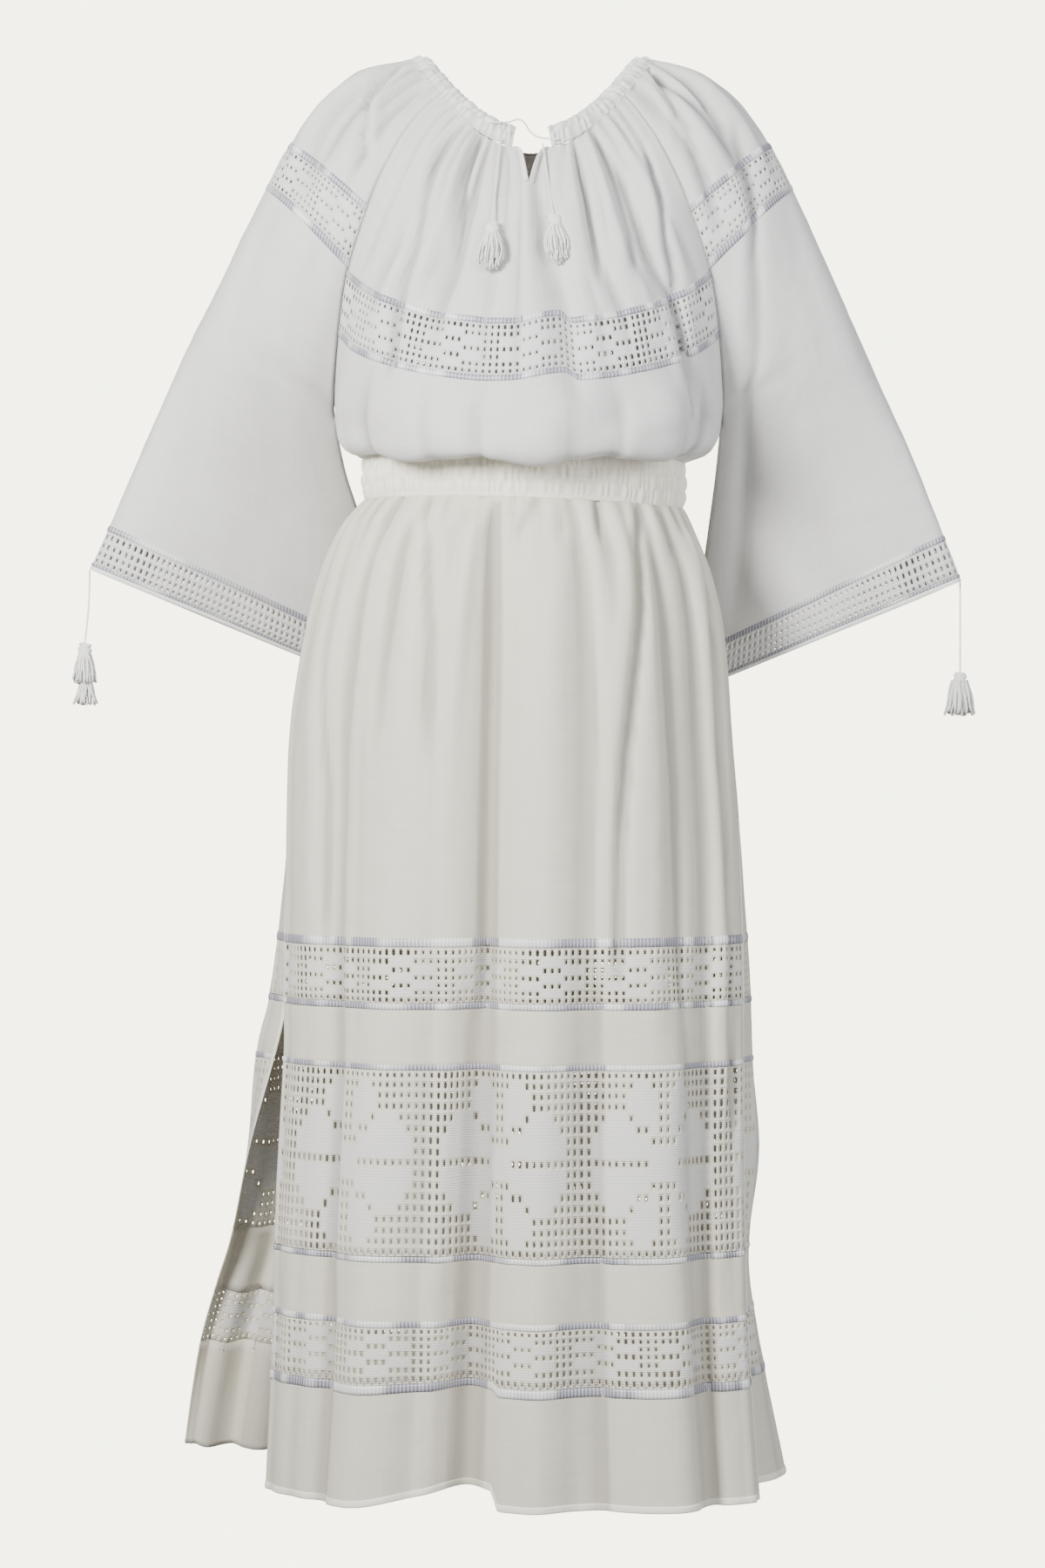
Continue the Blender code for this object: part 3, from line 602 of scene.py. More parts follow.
def skirt_relief(back):
    main, places = (SKIRT_BACK_FOLDS, SKIRT_BACK_PLEATS) if back else (SKIRT_FRONT_FOLDS, SKIRT_FRONT_PLEATS)
    count, seed, mirror = (15, 5.0, -1) if back else (18, 4.0, 1)

    def relief(u, r):
        tall = folds(main, u, r) + folds(HANGING_FOLDS, mirror * u, r, LEAN)
        tall += gathers(u, r, count, 2.6 * MM, 1.9, seed) + gathers(u, r, 2 * count - 7, 1.0 * MM, 0.9, seed + 1)
        tall += grooves(u, r, 30, 3.4 * MM, 3.4, seed) + creases(u, r, seed, 13, 2.6 * MM) * eased(r / 2)
        tall += crinkle(u, r, seed, 38, CRINKLE) * eased(r) + pleats(places, SKIRT_CREASE, u, r)
        return tall * (1 - np.abs(np.clip(u, -1, 1)) ** 8) * (0.35 + 0.65 * eased(r / 0.6))

    return relief


def slit_opening(u, r):
    """How far the neck's slit pulls the front's two edges apart."""
    open_share = np.clip(1 - r / SLIT_ROWS, 0, 1) * (1 - np.clip(np.abs(u), 0, 1)) ** 2
    return stack(np.sign(u) * SLIT_HALF_WIDTH * open_share, 0 * u, 0 * u)


def front_shift(u, r):
    """The slit's opening, and the long crease below it, which lifts the chest band to its right and steps down."""
    crease = CREASE_TOP + (CREASE_FOOT - CREASE_TOP) * np.clip(r / 6, 0, 1)
    away = u - crease
    lift = np.where(away < 0, np.exp(-((away / 0.13) ** 2)), np.exp(-((away / 0.035) ** 2)))
    lift = lift * eased((r - 2) / 1.5) * eased((7 - r) / 2)
    return slit_opening(u, r) + stack(0 * u, -0.5 * CREASE_LIFT * lift, CREASE_LIFT * lift)


def hem_shift(u, r):
    """The front hem hangs a little lower than its cut, and rises right of the middle up to a short step."""
    rise = eased((u + 0.45) / 0.3) * eased((-0.065 - u) / 0.02)
    return stack(0 * u, 0 * u, (HEM_RISE * rise - HEM_DROP) * eased((r - 11.4) / 1.6))


# Wall, weld and finite-difference steps, then the openwork: threads, holes, stitches and hems.
CLOTH_WALL = 0.5 * MM
WELD = 0.02 * MM
# Painted shade for the hollows between folds: how far to each side the cloth is measured, the depth that gets full
# painted shade, and how near a seam it fades out.
PAINTED_SHADE_REACH = 9 * MM
PAINTED_SHADE_DEPTH = 3 * MM
PAINTED_SHADE_SEAM_REACH = 22 * MM
STEP_U = 0.008
STEP_R = 0.12
SLIT_SIDE = 1e-5
NET_THREAD = 0.35 * MM
HOLE_ACROSS = 0.17
HOLE_DOWN = 0.27
# Painted shade added round the edge of each hole of the net.
NET_PAINTED_SHADE = 0.55
HOLE_SHAPE = np.array([(-0.5, -1), (0.5, -1), (1, -0.55), (1, 0.55), (0.5, 1), (-0.5, 1), (-1, 0.55), (-1, -0.55)])
STITCH_PITCH = 3.0 * MM
STITCH_HEIGHT = 0.6 * MM
BORDER_LIFT = 0.15 * MM
HEM_LIFT = 0.25 * MM
HEM_HEIGHT = 0.5 * MM

# Openwork charts, as drawn: a dot is a hole and an x is woven shut. The flower is given from its middle out.
FLOWER_HALF = (
    "............",
    "..xx........",
    ".xxxx.......",
    ".xxxx.......",
    ".xxx.xxx....",
    ".x..xxxxx...",
    "..xxxxxxxx..",
    "xxxxxxxxxx..",
    "xx..........",
)
BLOCKS = (
    "............",
    "xxx.........",
    "...xxx...xxx",
    "xxx.........",
    "...xxx...xxx",
    "xxx.........",
    "............",
)
PLAIN_NET = ("....",) * 4


def flower_chart():
    """The whole motif from a quarter of it, mirrored across and down."""
    upper = [half[::-1] + half for half in FLOWER_HALF]
    return upper + upper[-2::-1]


class Panel:
    """A cut piece of cloth: its outer face as a function of u across and r down, with its folds and creases."""

    def __init__(self, base, relief, facing, rows, wide, level=None, shift=None):
        self.base = base
        self.relief = relief
        self.facing = facing
        self.wide = wide
        self.level = level
        self.shift = shift
        middle = np.full(rows, 0.5 * (wide[0] + wide[1]) + 0.1)
        self.rows = np.arange(rows, dtype=float)
        self.drop = run_along(base(middle, self.rows))
        u = np.linspace(*wide, 200)
        self.metres_per_u = run_along(base(u, np.full(200, 0.5 * rows)))[-1] / (wide[1] - wide[0])

    def place(self, u, r, lift=0.0):
        """Points on the outer face, lifted off it."""
        u = np.asarray(u, float)
        r = np.asarray(r, float)
        out = normal(self.base, u, r, STEP_U, STEP_R) * self.facing
        move = out * (self.relief(u, r) + lift)[..., None]
        if self.level is not None:
            move[..., 2] *= self.level(r)
        points = self.base(u, r) + move
        return points if self.shift is None else points + self.shift(u, r)

    def flat(self, u, r):
        """Where a point lies on the flat cloth, in metres, and the painted shade it gets for how deep it lies in the
        folds' hollows, up to 1, and below 0 on a ridge, which the satin takes as painted light.
        """
        away = PAINTED_SHADE_REACH / self.metres_per_u
        beside = 0.5 * (self.relief(u - away, r) + self.relief(u + away, r))
        painted_shade = np.clip((beside - self.relief(u, r)) / PAINTED_SHADE_DEPTH, -0.4, 1)
        inward = np.minimum(u - self.wide[0], self.wide[1] - u) * self.metres_per_u
        painted_shade = painted_shade * eased(inward / PAINTED_SHADE_SEAM_REACH)
        return np.stack([u * self.metres_per_u, np.interp(r, self.rows, self.drop), painted_shade], axis=-1)

    def row_after(self, r, metres):
        """The row number that lies so many metres of cloth below a row, or above it where negative."""
        return float(np.interp(np.interp(r, self.rows, self.drop) + metres, self.drop, self.rows))

    def even_rows(self, first, last, pitch):
        """Row numbers from first to last, about a pitch apart along the cloth."""
        low, high = np.interp([first, last], self.rows, self.drop)
        places = np.linspace(low, high, max(1, round((high - low) / pitch)) + 1)
        return np.interp(places, self.drop, self.rows)

    def even_columns(self, r, pitch):
        """Places across the panel about a pitch apart, measured along its surface at one row."""
        u = np.linspace(*self.wide, 1200)
        run = run_along(self.place(u, np.full(u.shape, float(r))))
        count = max(4, round(run[-1] / pitch))
        return np.interp(np.linspace(0, run[-1], count + 1), run, u)


def cell(i, j, wide):
    """The corners of one cell of a grid, round it."""
    return i * wide + j, i * wide + j + 1, (i + 1) * wide + j + 1, (i + 1) * wide + j


def added(name, data):
    item = bpy.data.objects.new(name, data)
    bpy.context.scene.collection.objects.link(item)
    return item


def make_item(name, points, faces, looks, flats=None):
    """A smooth object. Flats give each point's place on the flat cloth and the painted shade of the folds' hollows
    there.
    """
    mesh = bpy.data.meshes.new(name)
    mesh.from_pydata(points.tolist(), [], faces)
    if flats is not None:
        painted_shades = mesh.attributes.new("painted_shade", "FLOAT", "POINT")
        painted_shades.data.foreach_set("value", flats[:, 2].astype(np.float32))
        layer = mesh.uv_layers.new(name="cloth")
        corner = np.empty(len(mesh.loops), int)
        mesh.loops.foreach_get("vertex_index", corner)
        layer.data.foreach_set("uv", flats[corner, :2].astype(np.float32).reshape(-1))
    for look in looks:
        mesh.materials.append(look)
    mesh.polygons.foreach_set("use_smooth", [True] * len(mesh.polygons))
    return added(name, mesh)


def edit(mesh, change):
    form = bmesh.new()
    form.from_mesh(mesh)
    change(form)
    form.to_mesh(mesh)
    form.free()


def replace(item, node):
    """Makes a piece ride on the dress and stand for its solid."""
    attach(item, "root")
    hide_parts(node)
    return item


class Cloth:
    """Gathers the faces of one garment piece, then makes them one object with a wall."""

    def __init__(self, facing):
        self.facing = facing
        self.points = []
        self.flats = []
        self.faces = []
        self.looks = []
        self.count = 0

    def add(self, points, flats, faces, look):
        points = points.reshape(-1, 3)
        self.points.append(points)
        self.flats.append(flats.reshape(-1, 3))
        for face in faces:
            face = face if self.facing < 0 else face[::-1]
            self.faces.append([self.count + k for k in face])
        self.looks += [look] * len(faces)
        self.count += len(points)

    def grid(self, panel, columns, rows, look, lift=0.0, gap=None):
        """A plain stretch of cloth. A gap is a column after which no face is made, down to the slit's foot."""
        u, r = np.meshgrid(columns, rows)
        wide = len(columns)
        faces = [cell(i, j, wide) for i in range(len(rows) - 1) for j in range(wide - 1) if j != gap]
        self.add(panel.place(u, r, lift), panel.flat(u, r), faces, look)

    def net(self, panel, first, last, chart, pitch, shift, look, size):
        """An openwork band: a hole in each cell, sized by its place across, but none where the chart has an x."""
        edges = panel.even_columns(0.5 * (first + last), pitch)
        rows = np.linspace(first, last, len(chart) + 1)
        wide = len(edges)
        u, r = np.meshgrid(edges, rows)
        corners = panel.place(u, r, NET_THREAD).reshape(-1, 3)
        flats = panel.flat(u, r).reshape(-1, 3)
        i, j = np.indices((len(chart), wide - 1))
        column = (j - (wide - 1) // 2 - shift) % len(chart[0])
        shut = np.array([list(line) for line in chart])[i, column] == "x"
        uneven = 0.09 * np.sin(12.9 * i + 7.1 * j) + 0.06 * np.sin(3.7 * i * j + 1.3)

        i, j = np.nonzero(~shut)
        middle = 0.5 * (edges[j] + edges[j + 1])
        drawn = 0.86 + 0.22 * np.sin(9 * middle + 1.3 * np.sin(23 * middle) + first)
        size = (size(middle) * drawn * (1 + uneven[i, j]))[:, None]
        across = 0.5 + HOLE_ACROSS * size * HOLE_SHAPE[:, 0]
        down = 0.5 + HOLE_DOWN * size * HOLE_SHAPE[:, 1]
        u = edges[j][:, None] + (edges[j + 1] - edges[j])[:, None] * across
        r = rows[i][:, None] + (rows[i + 1] - rows[i])[:, None] * down
        around = panel.flat(u, r).reshape(-1, 3)
        # Painted shade round each hole's edge, on top of the painted shade of the folds.
        around[:, 2] = np.clip(around[:, 2], 0, 1) + NET_PAINTED_SHADE
        faces = []
        for k, place in enumerate(zip(i.tolist(), j.tolist())):
            here = cell(*place, wide)
            start = len(corners) + 8 * k
            for side in range(4):
                after = here[(side + 1) % 4]
                hole = start + 2 * side
                faces += [(here[side], after, hole + 1, hole), (after, start + (2 * side + 2) % 8, hole + 1)]
        points = np.concatenate([corners, panel.place(u, r).reshape(-1, 3)])
        self.add(points, np.concatenate([flats, around]), faces, look)

        i, j = np.nonzero(shut)
        middle = 0.5 * (edges[j] + edges[j + 1]), 0.5 * (rows[i] + rows[i + 1])
        faces = []
        for k, place in enumerate(zip(i.tolist(), j.tolist())):
            here = cell(*place, wide)
            faces += [(here[side], here[(side + 1) % 4], len(corners) + k) for side in range(4)]
        points = np.concatenate([corners, panel.place(*middle, 0.5 * NET_THREAD)])
        self.add(points, np.concatenate([flats, panel.flat(*middle)]), faces, look + 1)

    def border(self, panel, first, last, look):
        """A line of satin stitches across the cloth: shiny ribs, with the next look in the gaps between them, a darker
        copy of the satin that is painted shade.
        """
        edges = panel.even_columns(0.5 * (first + last), STITCH_PITCH / 3)
        u, r = np.meshgrid(edges, np.linspace(first, last, 4))
        rib = np.where(np.arange(len(edges)) % 3 == 2, 0.0, STITCH_HEIGHT)
        points = panel.place(u, r, BORDER_LIFT + rib * np.array([0.2, 1.0, 1.0, 0.2])[:, None])
        wide = len(edges)
        for kind in range(2):
            faces = [cell(i, j, wide) for i in range(3) for j in range(wide - 1) if (j % 3 == 0) == (kind == 0)]
            self.add(points, panel.flat(u, r), faces, look + kind)

    def strip(self, panel, columns, rows, look, lift, tall, along_rows=False):
        """A narrow hem lying on the cloth, rounded across its own width."""
        share = np.linspace(0, 1, len(columns) if along_rows else len(rows))
        round_over = np.sin(math.pi * np.clip(share, 0, 1)) ** 0.5
        round_over = round_over[None, :] if along_rows else round_over[:, None]
        self.grid(panel, columns, rows, look, lift + tall * round_over)

    def finish(self, name, looks):
        item = make_item(name, np.concatenate(self.points), self.faces, looks, np.concatenate(self.flats))
        item.data.polygons.foreach_set("material_index", self.looks)
        edit(item.data, lambda form: bmesh.ops.remove_doubles(form, verts=form.verts, dist=WELD))
        wall = item.modifiers.new("Wall", "SOLIDIFY")
        wall.thickness = CLOTH_WALL
        wall.offset = -1
        wall.use_even_offset = False
        return replace(item, name)


# The looks of a garment piece, by material slot: slot 2 is the net's shut cells and slot 4 the satin's gaps, painted
# darker as shade.
PLAIN, NET, SATIN, HEM = 0, 1, 3, 5
CLOTH_PITCH = 4.6 * MM
SKIRT_ROW = 7.4 * MM
NET_PITCH = 5.3 * MM
SKIRT_PITCH = 5.9 * MM
HEM_PITCH = 1.5 * MM
FOOT_HEM = 9 * MM
CUFF_HEM = 6 * MM
SIDE_HEM = 5 * MM
NECK_HEM_SHARE = 0.035
SLIT_TOP = 5
EDGE = 5.7 * MM
CUFF_EDGE = 3.5 * MM


def weave(cloth, panel, columns, foot, bands, size, gap=None, pitch=NET_PITCH, row=CLOTH_PITCH):
    """Plain cloth down to the foot of a panel, with openwork set into it between two satin borders a band."""
    start = 0.0
    for first, last, chart, shift, edge in bands:
        upper = panel.row_after(first, edge)
        lower = panel.row_after(last, -edge)
        cloth.grid(panel, columns, panel.even_rows(start, upper, row), PLAIN, gap=gap)
        cloth.border(panel, first, upper, SATIN)
        cloth.net(panel, upper, lower, chart, pitch, shift, NET, size)
        cloth.border(panel, lower, last, SATIN)
        start = lower
    cloth.grid(panel, columns, panel.even_rows(start, foot, row), PLAIN, gap=gap)


def with_slit(columns):
    """Columns with the one nearest the middle made two, so that the cloth can open there."""
    left = columns[columns < -0.25 * (columns[1] - columns[0])]
    right = columns[columns > 0.25 * (columns[1] - columns[0])]
    return np.concatenate([left, [-SLIT_SIDE, SLIT_SIDE], right]), len(left)


def front_or_back(back):
    """The size of the openwork's holes over a panel, smaller at the back."""
    return lambda place: 1.0 - 0.48 * back


def make_bodice(looks, name, back):
    shape = BACK if back else FRONT
    panel = Panel(
        lambda u, r: bodice(shape, u, r, back),
        bodice_relief(back),
        -1 if back else 1,
        BODICE_FOOT + 1,
        (-1, 1),
        lambda r: eased((BODICE_FOOT - r) / 2),
        None if back else front_shift,
    )
    cloth = Cloth(panel.facing)
    columns, gap = panel.even_columns(3, CLOTH_PITCH), None
    if not back:
        columns, gap = with_slit(columns)
    bands = [(4, 5, BLOCKS, 3 if back else -2, EDGE)]
    weave(cloth, panel, columns, BODICE_FOOT, bands, front_or_back(back), gap)
    if not back:
        for sign in (-1, 1):
            edge = np.linspace(sign * SLIT_SIDE, sign * NECK_HEM_SHARE, 6)
            edge = edge if sign > 0 else edge[::-1]
            cloth.strip(panel, edge, np.linspace(0, SLIT_ROWS, 12), HEM, HEM_LIFT, HEM_HEIGHT, along_rows=True)
    return cloth.finish(name, looks)


def make_sleeve(looks, name, side):
    def base(u, r):
        return sleeve(np.asarray(u), np.asarray(r), side)

    panel = Panel(base, sleeve_relief(side), SIDES[side], SLEEVE_FOOT + 1, (0, 1))
    cloth = Cloth(panel.facing)
    columns = panel.even_columns(5, CLOTH_PITCH)
    last = panel.row_after(SLEEVE_FOOT, -CUFF_HEM)
    bands = [(3, 4, BLOCKS, 0, EDGE), (10, last, PLAIN_NET, 0, CUFF_EDGE)]
    weave(cloth, panel, columns, SLEEVE_FOOT, bands, lambda place: np.where(place < 0.5, 0.85, 0.5))
    cloth.strip(panel, columns, panel.even_rows(last, SLEEVE_FOOT, HEM_PITCH), HEM, 0, HEM_HEIGHT)
    return cloth.finish(name, looks)


def make_skirt(looks, name, back):
    shape = SKIRT_BACK if back else SKIRT_FRONT
    panel = Panel(
        lambda u, r: skirt(shape, u, r, back),
        skirt_relief(back),
        -1 if back else 1,
        SKIRT_FOOT + 1,
        (-1, 1),
        lambda r: eased(r / 2),
        None if back else hem_shift,
    )
    cloth = Cloth(panel.facing)
    columns = panel.even_columns(6, CLOTH_PITCH)
    bands = [(6, 7, BLOCKS, 5, EDGE), (8, 10, flower_chart(), -12, EDGE), (11, 12, BLOCKS, 3, EDGE)]
    weave(cloth, panel, columns, SKIRT_FOOT, bands, front_or_back(back), pitch=SKIRT_PITCH, row=SKIRT_ROW)
    rows = panel.even_rows(panel.row_after(SKIRT_FOOT, -FOOT_HEM), SKIRT_FOOT, HEM_PITCH)
    cloth.strip(panel, columns, rows, HEM, HEM_LIFT, HEM_HEIGHT)
    for sign in (-1, 1):
        edge = np.linspace(sign, sign * (1 - SIDE_HEM / panel.metres_per_u), 4)
        edge = edge[::-1] if sign > 0 else edge
        rows = panel.even_rows(SLIT_TOP, SKIRT_FOOT, 6 * MM)
        cloth.strip(panel, edge, rows, HEM, HEM_LIFT, HEM_HEIGHT, along_rows=True)
    return cloth.finish(name, looks)


PUCKERS = 84
CASING_RELIEF = 3.4 * MM
CASING_FOOT = 1.08
CASING_ROUNDS = 780
LABEL_TURN = 0.18
SHIRRS = 112
WAIST_RELIEF = 3.0 * MM
WAIST_ROUNDS = 1180
STEP_ANGLE = 0.004
STEP_SHARE = 0.02
STEP_HEIGHT = -0.5 * MM


def moved(surface, a, b, tall, step):
    """Points of a surface in a and b, moved along its normal."""
    return surface(a, b) + normal(surface, a, b, STEP_ANGLE, step) * np.asarray(tall)[..., None]


def both_faces(theta, outer):
    """The places round a shell, down its outer face and back up its inner one, and which of them are outside."""
    share = np.concatenate([outer, outer[-2:0:-1]])
    a, b = np.meshgrid(theta, share, indexing="ij")
    return a, b, np.arange(len(share)) < len(outer)


def hoops(count, around, start=0, closed=False):
    """Faces from each ring of points to the next, with flat ends unless the last ring meets the first."""
    faces = []
    for i in range(count if closed else count - 1):
        k = (i + 1) % count
        for j in range(around):
            m = (j + 1) % around
            corners = (i * around + j, i * around + m, k * around + m, k * around + j)
            faces.append([start + corner for corner in corners])
    if not closed:
        faces.append([start + j for j in range(around)][::-1])
        faces.append([start + (count - 1) * around + j for j in range(around)])
    return faces


def loop_shell(name, rounds, painted_shade, look, closed=False):
    """A closed tube of cloth from its cross-sections, each one a closed loop, with painted shade given at each point.
    """
    run, turn = run_along(rounds[:, 0]), run_along(rounds[0])
    flats = np.stack([*np.meshgrid(run, turn, indexing="ij"), painted_shade], axis=-1).reshape(-1, 3)
    item = make_item(name, rounds.reshape(-1, 3), hoops(*painted_shade.shape, closed=closed), [look], flats)
    edit(item.data, lambda form: bmesh.ops.recalc_face_normals(form, faces=form.faces))
    return replace(item, name)


def pucker(place, seed):
    """Rounded uneven ridges with hollows between them, from 0 to 1, for place counted in ridges."""
    wobble = place + 0.3 * np.sin(1.9 * place + seed) + 0.24 * np.sin(0.73 * place + 2 * seed)
    ridge = (0.5 - 0.5 * np.cos(2 * math.pi * wobble)) ** 0.8
    tall = 0.7 + 0.22 * np.sin(2.3 * np.floor(wobble) + seed) + 0.08 * np.sin(5.9 * np.floor(wobble))
    return ridge * tall


def make_casing(look):
    gap = SLIT_HALF_WIDTH / NECK_HALF_WIDTH
    theta = np.linspace(gap, 2 * math.pi - gap, CASING_ROUNDS)
    a, b, outside = both_faces(theta, np.linspace(0, CASING_FOOT, 19))
    place = (a - gap) / (2 * math.pi - 2 * gap) * PUCKERS
    slant = 0.9 * np.sin(0.41 * place + 0.7) * (b - 0.5) + 0.35 * np.sin(1.3 * place) * b
    thick = CASING_WALL * np.clip(1 - np.abs(2 * b / CASING_FOOT - 1) ** 6, 0, 1) ** 0.5
    upper = pucker(place + slant, 0.6)
    lower = pucker(1.17 * place + 0.4 * slant + 0.5, 2.2)
    tier = eased((b - 0.42) / 0.2)
    ridge = (upper * (1 - tier) + lower * tier) * np.sin(math.pi * np.clip(0.1 + 0.84 * b / CASING_FOOT, 0, 1)) ** 0.7
    channel = np.exp(-(((b - 0.5) / 0.05) ** 2)) + np.exp(-(((b - 0.93) / 0.04) ** 2))
    puffed = CASING_PUFF * np.sin(math.pi * np.clip(b, 0, 1)) - CASING_WALL
    dent = 0.8 * MM * pucker(place, 2.0) * np.sin(math.pi * np.clip(b / CASING_FOOT, 0, 1))
    outward = thick + CASING_RELIEF * ridge - 0.9 * MM * channel - 0.5 * MM
    tall = puffed + np.where(outside, outward, 0.2 * MM + dent)
    tall += np.where(outside, 1.6 * MM, 0.4 * MM) * eased((b - 0.9) / 0.2)
    # Painted shade: the last values darken the casing between its puckers and along its drawn channels.
    return loop_shell("neck_casing", moved(neck, a, b, tall, STEP_SHARE), 0.9 - 1.5 * ridge + 0.3 * channel, look)


def make_label(look):
    a, b, outside = both_faces(math.pi + np.linspace(-LABEL_TURN, LABEL_TURN, 25), np.linspace(0.1, 0.9, 13))
    puffed = CASING_PUFF * np.sin(math.pi * b) - CASING_WALL - 0.6 * MM
    curl = 0.1 * MM * np.sin(40 * a) * np.sin(math.pi * b)
    tall = puffed - np.where(outside, 0.0, 0.6 * MM) + curl
    return loop_shell("neck_label", moved(neck, a, b, tall, STEP_SHARE), 0 * a, look)


def make_waistband(look):
    theta = np.linspace(0, 2 * math.pi, WAIST_ROUNDS, endpoint=False)
    a, b, outside = both_faces(theta, np.linspace(WAIST_TOP + 1.5 * MM, WAIST_BOTTOM - 1.5 * MM, 23))
    share = np.clip((WAIST_TOP - b) / (WAIST_TOP - WAIST_BOTTOM), 0, 1)
    place = a / (2 * math.pi) * SHIRRS
    tier = share * 3 + 0.14 * np.sin(5 * a) + 0.08 * np.sin(13 * a)
    level = np.floor(tier)
    sway = 0.25 * np.sin(0.31 * place + 1.7 * level)
    ridge = np.where(level % 2 == 0, pucker(place + sway, 1.1), pucker(place + sway + 0.45, 2.9))
    between = 0.3 + 0.7 * np.abs(np.sin(math.pi * tier)) ** 0.5
    relief = ridge * between * np.sin(math.pi * (0.16 + 0.7 * share))
    outward = WAIST_RELIEF * relief - 0.5 * MM - 1.4 * MM * eased((share - 0.75) / 0.25)
    points = moved(waist, a, b, np.where(outside, outward, -WALL + 0.1 * MM), STEP_HEIGHT)
    # Painted shade: the last values darken the band where the shirring's puckers sink.
    return loop_shell("waistband", points, 0.4 - 1.1 * relief, look, closed=True)


# The drawstring's routes in millimetres, as their solids hold them, and which way each tassel hangs from its end.
NECK_BRIDGE = (
    (-28, -79.7, -66.5), (-20, -80.4, -66.5), (-13, -79, -66.3), (-7, -78.6, -64), (-1.5, -79.2, -65.5),
    (4.5, -81.5, -74.5), (11, -84, -79), (18, -85.3, -80.3), (26, -84.9, -81),
)
NECK_CORDS = {
    "right": ((
        (-19.6, -85.4, -80.5), (-21, -92.9, -97), (-22.3, -100.4, -113), (-23.6, -105.8, -129), (-25.5, -114, -151.5),
    ), (-3, -12.8, -39)),
    "left": ((
        (14.2, -86.6, -84.4), (16.2, -93.4, -101), (18.3, -99.2, -115.5), (20.3, -103.6, -130), (22.4, -109.4, -144.5),
    ), (4, -13.6, -39)),
}
CORD_BEND_STEP = 1.1 * MM
PLY_TURN = 5.2 * MM
PLY_AWAY = 0.42 * CORD_RADIUS
PLY_RADIUS = 0.62 * CORD_RADIUS
# How far each cuff's tie hangs down and sways, and where the second tassel hangs below the first.
CUFF_DROPS = {"right": (60 * MM, -4 * MM), "left": (74 * MM, 0)}
SECOND_TASSEL = (1 * MM, 0, -0.6 * 9 * MM - 0.92 * 25 * MM - SEAM)
# Each tassel's strands, its head's width and height, its body's length and width in millimetres, how flat it is from
# front to back, how round its foot is, and the seed of its unevenness.
TASSELS = {
    "tassel_neck_right": (46, 4.2, 8.5, 33, 10.2, 0.45, 1.0, -1.3),
    "tassel_neck_left": (46, 4.2, 8.5, 34, 9.6, 0.45, 1.0, 1.3),
    "tassel_cuff_left": (46, 4.2, 8, 27, 13, 0.7, 0.0, 0.4),
    "tassel_cuff_right": (46, 4.2, 9, 26, 10, 0.8, 0.35, 2.4),
    "tassel_cuff_right_low": (30, 3.2, 5, 17, 10, 0.8, 0.15, 5.1),
}
GOLDEN_TURN = 2.39996


def smooth_route(route, step):
    """Points at even steps on a smooth curve through the given points of a route."""
    route = np.array(route, float)
    fine = np.linspace(0, len(route) - 1, 40 * len(route))
    curve = np.stack([along(route[:, axis], fine) for axis in range(3)], axis=1)
    run = run_along(curve)
    places = np.linspace(0, run[-1], max(2, round(run[-1] / step)) + 1)
    return np.stack([np.interp(places, run, curve[:, axis]) for axis in range(3)], axis=1)


def frames(path):
    """Two unit vectors across a path at each of its points, turning as little as they can."""
    ahead = np.gradient(path, axis=0)
    ahead /= np.linalg.norm(ahead, axis=1, keepdims=True)
    side = np.cross(ahead[0], (0.3, 1.0, 0.1))
    sides = []
    for direction in ahead:
        side = side - direction * np.dot(side, direction)
        side = side / np.linalg.norm(side)
        sides.append(side)
    return np.array(sides), np.cross(ahead, sides)


class Strands:
    """Gathers the tubes of one piece of yarn, then makes them one object."""

    def __init__(self):
        self.points = []
        self.faces = []

    def tube(self, path, radii, around, turned=0.0):
        """Adds a round tube with closed ends along a path."""
        first, second = frames(path)
        angle = turned + np.linspace(0, 2 * math.pi, around, endpoint=False)
        ring = first[:, None] * np.cos(angle)[:, None] + second[:, None] * np.sin(angle)[:, None]
        self.faces += hoops(len(path), around, sum(len(chunk) for chunk in self.points))
        self.points.append((path[:, None] + ring * np.broadcast_to(radii, len(path))[:, None, None]).reshape(-1, 3))

    def finish(self, name, look):
        return replace(make_item(name, np.concatenate(self.points), self.faces, [look]), name)


def make_cord(name, route, look):
    """A cord of two plies twisted round each other along its route."""
    path = smooth_route(route, CORD_BEND_STEP)
    first, second = frames(path)
    run = run_along(path)
    cord = Strands()
    for ply in range(2):
        angle = (2 * math.pi * run / PLY_TURN + math.pi * ply)[:, None]
        cord.tube(path + PLY_AWAY * (first * np.cos(angle) + second * np.sin(angle)), PLY_RADIUS, 8)
    item = cord.finish(name, look)
    return item


